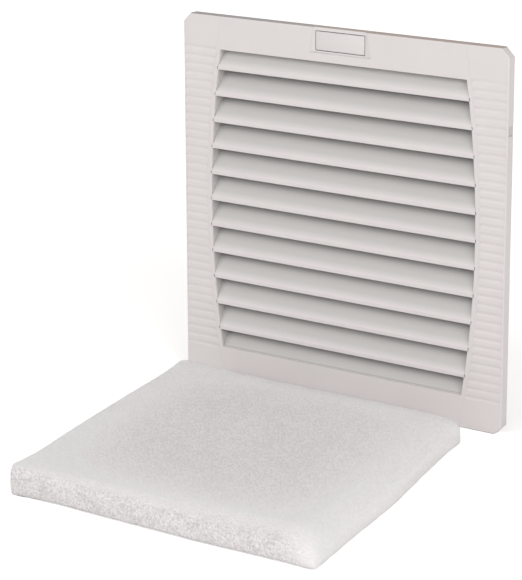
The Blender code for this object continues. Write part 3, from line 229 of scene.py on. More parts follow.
def node(tree, kind, settings=None, **inputs):
    made = tree.nodes.new(kind)
    for key, value in (settings or {}).items():
        setattr(made, key, value)
    for key, value in inputs.items():
        if key.startswith("i") and key[1:].isdigit():
            socket = made.inputs[int(key[1:])]
        else:
            socket = made.inputs[key.replace("_", " ")]
        put(tree, socket, value)
    return made


def coordinates(tree, scale=(1, 1, 1), turn=(0, 0, 0)):
    """Object coordinates, which are the shared frame's metres, stretched and turned."""
    place = tree.nodes.new("ShaderNodeTexCoord").outputs["Object"]
    return node(tree, "ShaderNodeMapping", Vector=place, Scale=scale, Rotation=turn).outputs["Vector"]


def xyz_of(tree, kind):
    """The X, Y and Z sockets of one of the texture coordinates: Object, Normal or Generated."""
    coords = tree.nodes.new("ShaderNodeTexCoord").outputs[kind]
    return node(tree, "ShaderNodeSeparateXYZ", Vector=coords).outputs


def dressed(tree, shader, colour, rough, normal, **levels):
    """Gives the shader its colour, roughness and normal, and any other of its inputs by name."""
    levels.update(Base_Color=colour, Roughness=rough, Normal=normal)
    for key, value in levels.items():
        put(tree, shader.inputs[key.replace("_", " ")], value)


def clouds(tree, scale, detail=3.0, rough=0.55, vector=None, distort=0.0):
    vector = vector or coordinates(tree)
    levels = {"Scale": scale, "Detail": detail, "Roughness": rough, "Distortion": distort}
    return node(tree, "ShaderNodeTexNoise", Vector=vector, **levels).outputs["Fac"]


def remap(tree, value, low, high, to_low=0.0, to_high=1.0):
    made = node(tree, "ShaderNodeMapRange", i0=value, i1=low, i2=high, i3=to_low, i4=to_high)
    made.clamp = True
    return made.outputs["Result"]


def blend(tree, amount, first, second):
    made = tree.nodes.new("ShaderNodeMix")
    made.data_type = "RGBA"
    put(tree, made.inputs[0], amount)
    put(tree, made.inputs[6], first)
    put(tree, made.inputs[7], second)
    return made.outputs[2]


def math_node(tree, operation, first, second=0.0):
    made = node(tree, "ShaderNodeMath", {"operation": operation}, i0=first, i1=second)
    return made.outputs[0]


def product(tree, first, second):
    return math_node(tree, "MULTIPLY", first, second)


def bump(tree, height, strength, distance, normal=None):
    made = node(tree, "ShaderNodeBump", Height=height, Strength=strength, Distance=distance)
    if normal:
        put(tree, made.inputs["Normal"], normal)
    return made.outputs["Normal"]


def rounded_normal(tree, radius):
    return node(tree, "ShaderNodeBevel", {"samples": 4}, Radius=radius).outputs["Normal"]


def edge_mask(tree, normal):
    """Towards 1 where the rounded normal leaves the true one: on the edges, which wear, and which some
    finishes lighten as a painted highlight.
    """
    true = tree.nodes.new("ShaderNodeNewGeometry").outputs["Normal"]
    dot = node(tree, "ShaderNodeVectorMath", {"operation": "DOT_PRODUCT"}, i0=normal, i1=true)
    return remap(tree, dot.outputs["Value"], 0.99, 0.75)


def tinted(colour, factor):
    return tuple(min(1.0, part * factor) for part in colour)


def painted_crevice_shade(tree, reach):
    """Towards 1 in gaps and corners, where light doesn't reach: a mask for painted shade."""
    made = node(tree, "ShaderNodeAmbientOcclusion", {"samples": 6}, Distance=reach)
    return remap(tree, made.outputs["AO"], 0.25, 0.85, 1.0, 0.0)


def top_edge(tree):
    """1 on the cover's upper edge face, which the photograph shows darker than the rest: there the colour
    gets painted shade and a painted reflection.
    """
    facing = remap(tree, xyz_of(tree, "Normal")["Z"], 0.2, 0.7)
    high = remap(tree, xyz_of(tree, "Object")["Z"], ORIGIN.z + SIDE - 0.0006, ORIGIN.z + SIDE - 0.0003)
    return product(tree, facing, high)


def inside_field(tree):
    """0 on the cover's face and towards 1 a few millimetres deep in the field, where the colour gets painted
    shade.
    """
    place = xyz_of(tree, "Object")
    deep = remap(tree, place["Y"], ORIGIN.y + 0.0001, ORIGIN.y + 0.0024)
    widest = FIELD_CORNER_HALF + FIELD_BULGE
    within = remap(tree, math_node(tree, "ABSOLUTE", place["X"]), widest + 0.0014, widest + 0.0020, 1.0, 0.0)
    top = ORIGIN.z + FIELD_HIGH
    below = remap(tree, place["Z"], top + 0.0004, top + 0.0008, 1.0, 0.0)
    return product(tree, product(tree, deep, within), below)


def side_to_side(tree, left, right):
    return blend(tree, remap(tree, xyz_of(tree, "Object")["X"], -0.055, 0.0), left, right)


def plastic(name, colour, roughness, wear_and_highlight=1.12, top_shade_and_reflection=None, field_painted_shade=None):
    """Moulded plastic: fine spark-eroded grain, faint clouds in colour and gloss, edges lighter partly from
    wear and partly as a painted highlight, painted shade in gaps, and where asked, painted shade deep in the
    louvre field and painted shade with a painted reflection on the upper edge.
    """
    made, tree, shader = new_material(name)
    fine = clouds(tree, 2600, 2.0, 0.6)
    broad = clouds(tree, 38, 3.0, 0.5)
    smear = clouds(tree, 140, 4.0, 0.6, coordinates(tree, (1, 1, 0.35)))
    base = blend(tree, remap(tree, broad, 0.3, 0.7), tinted(colour, 0.985), tinted(colour, 1.015))
    base = blend(tree, remap(tree, fine, 0.35, 0.7, 0.0, 0.35), base, tinted(colour, 0.93))
    round_normal = rounded_normal(tree, 0.0003)
    edges = edge_mask(tree, round_normal)
    # Painted shade: darker in the gaps and corners that ambient occlusion finds.
    base = blend(tree, painted_crevice_shade(tree, 0.0012), base, tinted(colour, 0.30))
    # Lighter edges, partly wear and partly a painted highlight.
    base = blend(tree, edges, base, tinted(colour, wear_and_highlight))
    # Painted shade: the louvre field darkens with depth, and a little more in its corners.
    if field_painted_shade:
        corners = painted_crevice_shade(tree, 0.008)
        depth_shade = blend(tree, corners, field_painted_shade, tinted(field_painted_shade, 0.97))
        base = blend(tree, inside_field(tree), base, depth_shade)
    # Painted shade on the upper edge face, with a painted reflection tinting it towards the right.
    if top_shade_and_reflection:
        base = blend(tree, top_edge(tree), base, side_to_side(tree, *top_shade_and_reflection))
    rough = remap(tree, smear, 0.25, 0.75, roughness - 0.05, roughness + 0.06)
    normal = bump(tree, fine, 0.5, 0.00002, round_normal)
    dressed(tree, shader, base, rough, normal, Specular_IOR_Level=0.4)
    return made


def cast_metal(name, colour, roughness):
    """Painted die casting: a pebbled skin with rubbed edges."""
    made, tree, shader = new_material(name)
    pebbles = clouds(tree, 1500, 3.0, 0.65)
    patches = clouds(tree, 60, 4.0, 0.6)
    round_normal = rounded_normal(tree, 0.0004)
    edges = edge_mask(tree, round_normal)
    worn = product(tree, edges, remap(tree, patches, 0.45, 0.7))
    base = blend(tree, remap(tree, patches, 0.3, 0.7), tinted(colour, 0.85), tinted(colour, 1.2))
    base = blend(tree, worn, base, (0.42, 0.42, 0.41))
    rough = remap(tree, pebbles, 0.3, 0.7, roughness - 0.08, roughness + 0.1)
    normal = bump(tree, pebbles, 0.7, 0.00006, round_normal)
    dressed(tree, shader, base, rough, normal, Metallic=remap(tree, worn, 0.2, 0.8, 0.0, 0.9))
    return made


def metal(name, colour, roughness, stretch=(1, 1, 1)):
    """Bare or plated metal: drawn or rolled marks, and faint stains."""
    made, tree, shader = new_material(name)
    marks = clouds(tree, 900, 3.0, 0.6, coordinates(tree, stretch))
    stains = clouds(tree, 120, 4.0, 0.6)
    base = blend(tree, remap(tree, stains, 0.35, 0.7), tinted(colour, 0.85), colour)
    round_normal = rounded_normal(tree, 0.00015)
    # Lighter edges, partly wear and partly a painted highlight.
    base = blend(tree, edge_mask(tree, round_normal), base, tinted(colour, 1.12))
    rough = remap(tree, marks, 0.3, 0.7, roughness - 0.07, roughness + 0.1)
    dressed(tree, shader, base, rough, bump(tree, marks, 0.35, 0.00002, round_normal), Metallic=1.0)
    return made


def foam(name, colour):
    """Closed-cell foam: small pits, darker as painted shade, and a dry surface."""
    made, tree, shader = new_material(name)
    cells = node(tree, "ShaderNodeTexVoronoi", Vector=coordinates(tree), Scale=1400).outputs["Distance"]
    patches = clouds(tree, 90, 3.0, 0.6)
    # Painted shade: the pits are darker.
    base = blend(tree, remap(tree, cells, 0.1, 0.55), tinted(colour, 0.6), colour)
    base = blend(tree, remap(tree, patches, 0.35, 0.7, 0.0, 0.3), base, tinted(colour, 1.4))
    normal = bump(tree, cells, 0.8, 0.0001, rounded_normal(tree, 0.0005))
    dressed(tree, shader, base, remap(tree, patches, 0.3, 0.7, 0.86, 0.98), normal, Sheen_Weight=0.2)
    return made


def windings(name, colour):
    """Enamelled copper wire wound in fine turns, with painted shade between the turns."""
    made, tree, shader = new_material(name)
    levels = {"Scale": 600, "Distortion": 1.2, "Detail_Scale": 3.0}
    settings = {"bands_direction": "DIAGONAL"}
    bands = node(tree, "ShaderNodeTexWave", settings, Vector=coordinates(tree), **levels)
    turns = bands.outputs["Fac"]
    patches = clouds(tree, 220, 3.0, 0.6)
    # Painted shade: darker between the turns.
    base = blend(tree, remap(tree, turns, 0.1, 0.8), tinted(colour, 0.35), colour)
    base = blend(tree, remap(tree, patches, 0.4, 0.7, 0.0, 0.4), base, tinted(colour, 0.7))
    rough = remap(tree, patches, 0.3, 0.7, 0.28, 0.42)
    normal = bump(tree, turns, 0.9, 0.00012, rounded_normal(tree, 0.0004))
    dressed(tree, shader, base, rough, normal, Metallic=0.85, Coat_Weight=0.3)
    return made


def laminations(name, colour):
    """Stacked sheets of iron, seen as fine lines along the stack."""
    made, tree, shader = new_material(name)
    bands = node(tree, "ShaderNodeTexWave", {"bands_direction": "Y"}, Vector=coordinates(tree), Scale=320)
    lines = bands.outputs["Fac"]
    patches = clouds(tree, 200, 4.0, 0.65)
    base = blend(tree, remap(tree, lines, 0.2, 0.7), tinted(colour, 0.45), colour)
    base = blend(tree, remap(tree, patches, 0.45, 0.75, 0.0, 0.5), base, (0.20, 0.12, 0.08))
    normal = bump(tree, lines, 0.6, 0.00008, rounded_normal(tree, 0.0002))
    dressed(tree, shader, base, remap(tree, patches, 0.3, 0.7, 0.42, 0.6), normal, Metallic=0.7)
    return made


def weighted_sum(tree, parts):
    total = None
    for value, weight in parts:
        scaled = product(tree, value, weight)
        total = math_node(tree, "ADD", total, scaled) if total else scaled
    return total


def mat_directions(tree):
    """Sockets with a point's distance from the mat's middle, along and across its slanting outline."""
    place = xyz_of(tree, "Object")
    along = math_node(tree, "SUBTRACT", place["Y"], ORIGIN.y + MAT_MIDDLE[1])
    lean = product(tree, along, math.tan(MAT_SKEW))
    across = math_node(tree, "SUBTRACT", place["X"], ORIGIN.x + MAT_MIDDLE[0])
    return along, math_node(tree, "ADD", across, lean)


def near_mat_edge(tree):
    """0 in the mat's middle and 1 along its edges, more so towards the front: a mask for painted light on
    the edges against painted shade in the middle.
    """
    along, across = mat_directions(tree)
    share = None
    for value, half in ((across, MAT_WIDTH / 2), (along, MAT_LENGTH / 2)):
        part = math_node(tree, "ABSOLUTE", math_node(tree, "DIVIDE", value, half))
        part = math_node(tree, "POWER", part, 4.0)
        share = math_node(tree, "ADD", share, part) if share else part
    front = remap(tree, along, 0.3 * MAT_LENGTH, -0.5 * MAT_LENGTH)
    painted_light = remap(tree, front, 0.0, 1.0, 0.75, 1.0)
    return product(tree, remap(tree, share, 0.03, 0.5), painted_light)


def fibre(name, colour):
    """Bonded polyester fibre: strands, clumps, painted shade on the front-facing cut sides and in the top's
    middle, painted light on the top's edges and at the cut sides' right end, and light that soaks in.
    """
    made, tree, shader = new_material(name)
    turned = coordinates(tree, turn=(0, 0, MAT_GRAIN_TURN))
    grain = node(tree, "ShaderNodeMapping", Vector=turned, Scale=(1, 0.35, 1)).outputs["Vector"]
    strands = None
    for turn, stretch in STRANDS:
        wisps = clouds(tree, 120, 2.0, 0.6, coordinates(tree, stretch, turn), 0.8)
        ridge = math_node(tree, "ABSOLUTE", math_node(tree, "SUBTRACT", wisps, 0.5))
        strands = math_node(tree, "MINIMUM", strands, ridge) if strands else ridge
    strand = remap(tree, strands, 0.0, 0.05, 1.0, 0.0)
    speckle = clouds(tree, 420, 3.0, 0.7)
    grit = clouds(tree, 760, 2.0, 0.6)
    clump = clouds(tree, 130, 3.0, 0.6)
    cloud = clouds(tree, 26, 3.0, 0.5)
    long_speckle = clouds(tree, 760, 2.0, 0.7, grain)
    long_clump = clouds(tree, 150, 3.0, 0.6, grain)
    cut_side = remap(tree, xyz_of(tree, "Normal")["Y"], -0.62, -0.04, 1.0, 0.0)
    top_web = weighted_sum(tree, ((long_speckle, 1.7), (strand, 0.06), (long_clump, 0.35), (cloud, 0.25)))
    side_web = weighted_sum(tree, ((speckle, 0.7), (grit, 1.3), (strand, 0.10), (clump, 0.4)))
    top_share, side_share = remap(tree, top_web, 0.98, 1.34), remap(tree, side_web, 0.98, 1.48)
    # Painted shade in the top's middle and painted light on its edges.
    middle = blend(tree, top_share, tinted(colour, 0.765), tinted(colour, 0.925))
    rim = blend(tree, top_share, tinted(colour, 1.0), tinted(colour, 1.05))
    top_colour = blend(tree, near_mat_edge(tree), middle, rim)
    # Painted shade: the front-facing cut sides are darker.
    side_colour = blend(tree, side_share, (0.57, 0.560, 0.565), tinted(colour, 0.94))
    # Painted light: the cut sides grow lighter towards the mat's right end.
    rightward = remap(tree, mat_directions(tree)[1], 0.38 * MAT_WIDTH, 0.50 * MAT_WIDTH)
    painted_light = blend(tree, side_share, tinted(colour, 0.90), tinted(colour, 1.04))
    side_colour = blend(tree, rightward, side_colour, painted_light)
    base = blend(tree, cut_side, top_colour, side_colour)
    normal = bump(tree, blend(tree, cut_side, top_web, side_web), 0.8, 0.0010)
    dressed(tree, shader, base, 0.95, normal, Specular_IOR_Level=0.1, Sheen_Weight=0.2, Sheen_Roughness=0.6,
            Subsurface_Weight=0.8, Subsurface_Radius=(0.012, 0.0115, 0.0115), Subsurface_Scale=1.0)
    return made


# Mesh helpers


def placed(name, data):
    """A new object of the scene."""
    item = bpy.data.objects.new(name, data)
    bpy.context.scene.collection.objects.link(item)
    return item


def linked(name, shape):
    """The bmesh as an object of the scene."""
    bmesh.ops.recalc_face_normals(shape, faces=shape.faces)
    mesh = bpy.data.meshes.new(name)
    shape.to_mesh(mesh)
    shape.free()
    return placed(name, mesh)


def add_mesh(name, shape, finish, body, angle=38, weighted=False):
    """Turns the bmesh, drawn in cover coordinates, into a piece that rides on the body."""
    piece = linked(name, shape)
    mesh = piece.data
    mesh.transform(Matrix.Translation(ORIGIN))
    mesh.shade_smooth()
    mesh.set_sharp_from_angle(angle=math.radians(angle))
    mesh.materials.append(finish)
    if weighted:
        modifier = piece.modifiers.new("Weighted normals", "WEIGHTED_NORMAL")
        modifier.keep_sharp = True
        modifier.weight = 80
    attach(piece, body)
    return piece


def arc_half(z, margin=0.0):
    """Half the width of the louvre field at height z. Its sides are arcs that bulge outwards."""
    half_height = (FIELD_HIGH - FIELD_LOW) / 2
    radius = (half_height**2 + FIELD_BULGE**2) / (2 * FIELD_BULGE) + margin
    rise = z - (FIELD_HIGH + FIELD_LOW) / 2
    return FIELD_CORNER_HALF + FIELD_BULGE + margin - radius + math.sqrt(radius**2 - rise**2)


def bridge(shape, first, second):
    """Faces between two closed rows of corners."""
    count = len(first)
    for n in range(count):
        after = (n + 1) % count
        corners = (first[n], first[after], second[after], second[n])
        if len(set(corners)) == 4:
            shape.faces.new(corners)


def prism(outline, span):
    """Draws a (y, z) outline out along x, between the two places that span gives for a height."""
    shape = bmesh.new()
    ends = [[shape.verts.new((span(z)[n], y, z)) for y, z in outline] for n in (0, 1)]
    for end in ends:
        shape.faces.new(end)
    bridge(shape, *ends)
    return shape


def block(near, far):
    """A box between two opposite corners."""
    shape = bmesh.new()
    bmesh.ops.create_cube(shape, size=1.0)
    for corner in shape.verts:
        parts = zip(near, far, corner.co)
        corner.co = Vector([low + (part + 0.5) * (high - low) for low, high, part in parts])
    return shape


def turned(profile, centre, sides):
    """A solid turned about the axis along y through the centre, from (radius, y) points."""
    shape = bmesh.new()
    loops = []
    for radius, y in profile:
        turns = [math.tau * n / sides for n in range(sides if radius else 1)]
        spots = [(centre[0] + radius * math.cos(a), y, centre[2] + radius * math.sin(a)) for a in turns]
        loops.append([shape.verts.new(spot) for spot in spots])
    for first, second in zip(loops, loops[1:]):
        for n in range(sides):
            corners = [first[n - 1], first[n]] if len(first) > 1 else [first[0]]
            corners += [second[n], second[n - 1]] if len(second) > 1 else [second[0]]
            shape.faces.new(corners)
    return shape


def rod(centre, radius, front, rear, sides):
    return turned([(0, front), (radius, front), (radius, rear), (0, rear)], centre, sides)


def wire(path, radius, closed):
    """Round wire along the path, whose points lie in a plane y = constant."""
    shape = bmesh.new()
    last = len(path) - 1
    turns = [math.tau * n / WIRE_SIDES for n in range(WIRE_SIDES)]
    loops = []
    for n, spot in enumerate(path):
        after = path[0 if n == last and closed else min(n + 1, last)]
        before = path[n - 1 if n or closed else 0]
        out = (after - before).normalized().cross(Vector((0, 1, 0)))
        around = [out * math.cos(a) + Vector((0, math.sin(a), 0)) for a in turns]
        loops.append([shape.verts.new(spot + radius * way) for way in around])
    for first, second in zip(loops, loops[1:]):
        bridge(shape, first, second)
    if closed:
        bridge(shape, loops[-1], loops[0])
    else:
        shape.faces.new(loops[0])
        shape.faces.new(loops[-1])
    return shape


def circle(centre, radius, count):
    turns = [math.tau * n / count for n in range(count)]
    return [centre + radius * Vector((math.cos(a), 0, math.sin(a))) for a in turns]


def sliced(shape, spot, normal):
    """Cuts off what lies on the normal's side of a plane, and gives the new edges."""
    everything = shape.verts[:] + shape.edges[:] + shape.faces[:]
    cut = bmesh.ops.bisect_plane(shape, geom=everything, plane_co=spot, plane_no=normal, clear_outer=True)
    return [item for item in cut["geom_cut"] if isinstance(item, bmesh.types.BMEdge)]


def combined(first, operation, others):
    """The bmesh of the first shape with the others added to it or cut from it."""
    piece = linked("helper", first)
    tools = [linked("helper", other) for other in others]
    for tool in tools:
        modifier = piece.modifiers.new("Combine", "BOOLEAN")
        modifier.operation = operation
        modifier.solver = "EXACT"
        modifier.object = tool
    flatten(piece)
    shape = bmesh.new()
    shape.from_mesh(piece.data)
    for item in [piece] + tools:
        bpy.data.objects.remove(item)
    return shape


# Cover pieces


class CoverGrid:
    """The cover's face as rows and columns that follow its outline, arcs, ribs, recess and window."""

    def __init__(self):
        recess = (RECESS_LOW, RECESS_LOW + RECESS_STEP, SIDE - RECESS_SCOOP[0])
        window = (BUTTON_MIDDLE - WINDOW_RISE, BUTTON_MIDDLE + WINDOW_RISE)
        slot = [z + aside for z in PRY_SLOT for aside in (-0.00006, 0.00006)]
        rows = [(z, "plain") for z in (0.013, *self.rib_rows(), *recess, *window, *slot)]
        rows += [(0.0, "low_end"), (CORNER_CUT, "low_corner")]
        rows += [(SIDE - CORNER_CUT, "high_corner"), (SIDE, "high_end")]
        rows += [(FIELD_LOW - FIELD_ROUND, "hole_low"), (FIELD_HIGH + FIELD_ROUND, "hole_high")]
        rows.sort(key=lambda row: row[0])
        kept = []
        for row in rows:
            if kept and row[0] - kept[-1][0] < 0.00008:
                if row[1] == "plain":
                    continue
                if kept[-1][1] == "plain":
                    kept.pop()
            kept.append(row)
        self.rows = kept
        heights, kinds = zip(*kept)
        self.hole_rows = (kinds.index("hole_low"), kinds.index("hole_high"))
        self.window_rows = [heights.index(z) for z in window]
        self.fractions = (0.0, 0.004, 0.012, 0.3, 0.65, 0.974, 0.984, 1.0)
        self.hole_column = 8
        self.middle = self.hole_column + len(BAND_LINE) + len(self.fractions)
        self.last = (len(self.rows) - 1, 2 * self.middle)

    @staticmethod
    def rib_rows():
        rows = []
        for n in range(RIB_COUNT + 1):
            z = FIELD_LOW + n * (FIELD_HIGH - FIELD_LOW) / RIB_COUNT
            offsets = (RIB_HALF + RIB_ROUND, RIB_HALF - RIB_ROUND, RIB_ROUND)
            rows += [z - offset for offset in offsets] + [z + offset for offset in reversed(offsets)]
        return rows

    def height(self, row, inset, margin):
        z, kind = self.rows[row]
        cut = CORNER_CUT + inset * (math.sqrt(2) - 1)
        fixed = {
            "low_end": inset,
            "high_end": SIDE - inset,
            "low_corner": cut,
            "high_corner": SIDE - cut,
            "hole_low": FIELD_LOW - margin,
            "hole_high": FIELD_HIGH + margin,
        }
        if kind != "plain":
            return fixed[kind]
        reach = 0.0032
        if margin > FIELD_ROUND and FIELD_LOW - reach < z < FIELD_LOW and row < self.hole_rows[0]:
            share = (z - FIELD_LOW + reach) / (reach - FIELD_ROUND)
            return FIELD_LOW - reach + share * (reach - margin)
        if margin > FIELD_ROUND and FIELD_HIGH < z < FIELD_HIGH + reach and row > self.hole_rows[1]:
            share = (FIELD_HIGH + reach - z) / (reach - FIELD_ROUND)
            return FIELD_HIGH + reach - share * (reach - margin)
        return z

    def place(self, row, column, inset, margin):
        """(x, z) of a grid corner. inset is how far the outline comes in, margin how far the hole grows."""
        z = self.height(row, inset, margin)
        step = column - self.middle
        side, step = (1 if step >= 0 else -1), abs(step)
        rise = abs(z - HALF)
        outer = min(HALF - inset, 2 * HALF - CORNER_CUT - inset * math.sqrt(2) - rise)
        share = min(1.0, max(0.0, (z - RECESS_LOW) / (SIDE - RECESS_LOW)))
        recess = RECESS_BOTTOM_HALF + share * (RECESS_TOP_HALF - RECESS_BOTTOM_HALF)
        start = arc_half(z, BAND_LINE[-1]) + 0.0001
        across = [0.0, WINDOW_HALF, recess - RECESS_RAMP, recess]
        across += [edge + aside for edge in EAR_NOTCH for aside in (-0.0001, 0.0001)]
        across.append(arc_half(z, margin))
        across += [arc_half(z, offset) for offset in BAND_LINE]
        across += [start + part * (outer - start) for part in self.fractions]
        return side * across[step], z

    def depth(self, column, z):
        """How far the face lies back at a corner: recess with scooped upper end, band line, rib grooves."""
        step = abs(column - self.middle)
        if step <= 2 and z > RECESS_LOW + RECESS_STEP / 2:
            reach, scoop = RECESS_SCOOP
            return RECESS_DEPTH + scoop * max(0.0, z - SIDE + reach) / reach
        line = self.hole_column + 1
        if step in (line + 1, line + 2):
            return BAND_LINE_DEPTH
        if line + 6 <= step <= line + 9 and FIELD_LOW - 0.002 < z < FIELD_HIGH + 0.002:
            pitch = (FIELD_HIGH - FIELD_LOW) / RIB_COUNT
            off = abs((z - FIELD_LOW + pitch / 2) % pitch - pitch / 2)
            return RIB_DEPTH * max(0.0, 1 - off / RIB_HALF) if off < RIB_HALF else 0.0
        return 0.0

    def ring(self, rows, reach):
        """The corners round a field of the grid that reaches as many columns to either side."""
        low, high = self.middle - reach, self.middle + reach
        ring = [(rows[0], column) for column in range(low, high)]
        ring += [(row, high) for row in range(rows[0], rows[1])]
        ring += [(rows[1], column) for column in range(high, low, -1)]
        return ring + [(row, low) for row in range(rows[1], rows[0], -1)]

    def holes(self):
        fields = ((self.hole_rows, self.hole_column), (self.window_rows, 1))
        return [(range(*rows), range(self.middle - reach, self.middle + reach)) for rows, reach in fields]


def rim_depth(x, z):
    """Where the skirt's rear edge lies. It comes forward at the pry slot and at the hinge ears."""
    if x > HALF - WALL - 0.0005 and PRY_SLOT[0] < z < PRY_SLOT[1]:
        return PRY_SLOT_FRONT
    if z < WALL + 0.0005 and EAR_NOTCH[0] < abs(x) < EAR_NOTCH[1]:
        return WALL
    return DEPTH


def make_cover_shell(finish):
    grid = CoverGrid()
    shape = bmesh.new()
    corners = {}

    def corner(face, row, column):
        key = (face, row, column)
        if key not in corners:
            if face == "front":
                x, z = grid.place(row, column, EDGE_RADIUS, FIELD_ROUND)
                y = grid.depth(column, z)
            else:
                x, z = grid.place(row, column, WALL, FIELD_WALL)
                y = WALL
            corners[key] = shape.verts.new((x, y, z))
        return corners[key]

    holes = grid.holes()
    for row in range(grid.last[0]):
        for column in range(grid.last[1]):
            if any(row in rows and column in columns for rows, columns in holes):
                continue
            for face in ("front", "rear"):
                around = ((row, column), (row, column + 1), (row + 1, column + 1), (row + 1, column))
                shape.faces.new([corner(face, *spot) for spot in around])

    ring = grid.ring((0, grid.last[0]), grid.middle)
    loops = [[corner("front", *spot) for spot in ring]]
    profile = [(EDGE_RADIUS * part, EDGE_RADIUS * back, "front") for part, back in BENDS[1:]]
    profile += [(RIM_RADIUS * part, RIM_RADIUS * back, "rim") for back, part in BENDS]
    profile += [(WALL - part, back, kind) for part, back, kind in reversed(profile[-5:])]
    for inset, back, kind in profile:
        loop = []
        for spot in ring:
            x, z = grid.place(*spot, inset, FIELD_ROUND)
            if kind == "front":
                y = grid.depth(spot[1], grid.place(*spot, EDGE_RADIUS, FIELD_ROUND)[1]) + back
            else:
                y = rim_depth(x, z) - back
            loop.append(shape.verts.new((x, y, z)))
        loops.append(loop)
    loops.append([corner("rear", *spot) for spot in ring])

    for first, second in zip(loops, loops[1:]):
        bridge(shape, first, second)

    ring = grid.ring(grid.hole_rows, grid.hole_column)
    loops = [[corner("front", *spot) for spot in ring]]
    profile = [(FIELD_ROUND * part, FIELD_ROUND * back) for part, back in BENDS[1:]]
    profile += [(RIM_RADIUS * part, FIELD_DEPTH - RIM_RADIUS * back) for back, part in BENDS]
    profile += [(FIELD_WALL - margin, y) for margin, y in reversed(profile[-5:])]
    for margin, y in profile:
        places = [grid.place(*spot, EDGE_RADIUS, margin) for spot in ring]
        loops.append([shape.verts.new((x, y, z)) for x, z in places])
    loops.append([corner("rear", *spot) for spot in ring])
    for first, second in zip(loops, loops[1:]):
        bridge(shape, first, second)

    ring = grid.ring(grid.window_rows, 1)
    bridge(shape, [corner("front", *spot) for spot in ring], [corner("rear", *spot) for spot in ring])
    return add_mesh("cover_shell", shape, finish, "cover", 50, weighted=True)


def blade_outline(lip):
    """The (y, z) outline of one louvre, with a rounded lip and a curved reach."""
    r = BLADE_LIP_ROUND
    outline = [(r * part, lip + r * rise) for part, rise in BENDS]
    top = lip + BLADE_LIP_HEIGHT
    steps = 16
    turn = math.atan(BLADE_START_SLOPE)
    for n in range(5):
        a = (math.pi / 2 - turn) * n / 4
        outline.append((r * (1 - math.cos(a)), top - r * 0.28 + r * math.sin(a)))
    start = 0.0006
    depths = [start + (BLADE_REACH - start) * n / steps for n in range(steps + 1)]
    curve = [(y, top + BLADE_START_SLOPE * y - BLADE_BEND * y * y) for y in depths]
    under = []
    for y, z in reversed(curve):
        slope = math.atan(BLADE_START_SLOPE - 2 * BLADE_BEND * y)
        under.append((y + BLADE_THICKNESS * math.sin(slope), z - BLADE_THICKNESS * math.cos(slope)))
    return outline + curve + under + [(BLADE_THICKNESS, lip)]


def make_louvres(finish):
    for n in range(BLADE_COUNT):
        outline = blade_outline(TOP_BLADE_LIP - n * BLADE_PITCH)
        shape = prism(outline, lambda z: (-arc_half(z, FIELD_WALL / 2), arc_half(z, FIELD_WALL / 2)))
        for z, side in ((FIELD_HIGH + FIELD_WALL / 2, 1), (FIELD_LOW - FIELD_WALL / 2, -1)):
            edges = sliced(shape, (0, 0, z), (0, 0, side))
            if edges:
                bmesh.ops.contextual_create(shape, geom=edges)
        add_mesh(f"louvre_{n + 1:02d}", shape, finish, "cover", 30, weighted=True)


def make_sill(finish):
    """The sloping sill below the lowest louvre. A narrow groove parts it from the field's lower edge."""
    low = FIELD_LOW - FIELD_WALL / 2
    outline = [(SILL_FRONT, low), (SILL_FRONT, FIELD_LOW + SILL_STEP)]
    outline += [(SILL_DEPTH, FIELD_LOW + SILL_RISE), (SILL_DEPTH, low)]
    reach = arc_half(FIELD_LOW, FIELD_WALL / 2)
    shape = prism(outline, lambda z: (-reach, reach))
    add_mesh("field_sill", shape, finish, "cover", 30)


def make_hinge_lugs(finish):
    """The cover's four small lugs, each a knuckle on a foot, on both sides of the base frame's ears."""
    axis_y, axis_z = LUG_AXIS
    turns = [math.pi * n / 16 for n in range(17)]
    outline = [(WALL / 2, LUG_FOOT), (WALL / 2, axis_z)]
    outline += [(axis_y - LUG_RADIUS * math.cos(a), axis_z + LUG_RADIUS * math.sin(a)) for a in turns]
    outline.append((axis_y + LUG_RADIUS, LUG_FOOT))
    for spread in (-LUG_SPREAD, LUG_SPREAD):
        for side in (-1, 1):
            near = spread + side * LUG_NEAR
            ends = sorted((near, near + side * LUG_WIDTH))
            place = "outer" if side * spread > 0 else "inner"
            name = f"hinge_lug_{'left' if spread < 0 else 'right'}_{place}"
            add_mesh(name, prism(outline, lambda z: ends), finish, "cover", 35)


# Fan frame and guard


def fan_holes(radius):
    ring = radius - FAN_HOLE_INSET
    x, z = ring * math.cos(FAN_HOLE_ANGLE), ring * math.sin(FAN_HOLE_ANGLE)
    return [Vector((x * a, 0, FAN_MIDDLE + z * b)) for a, b in ((1, 1), (1, -1), (-1, -1), (-1, 1))]


def make_strut(start, end, rear, turn):
    """One strut from the motor plate to the barrel, with rounded long edges."""
    strut = block((start, rear - STRUT - FIT_GAP, -STRUT / 2), (end, rear - FIT_GAP, STRUT / 2))
    along = [edge for edge in strut.edges if abs(edge.verts[0].co.x - edge.verts[1].co.x) > STRUT]
    bmesh.ops.bevel(strut, geom=along, offset=STRUT_RADIUS, segments=3, profile=0.5, affect="EDGES")
    bmesh.ops.transform(strut, matrix=Matrix.Rotation(turn, 4, "Y"), verts=strut.verts)
    bmesh.ops.translate(strut, verts=strut.verts, vec=(0, 0, FAN_MIDDLE))
    return strut


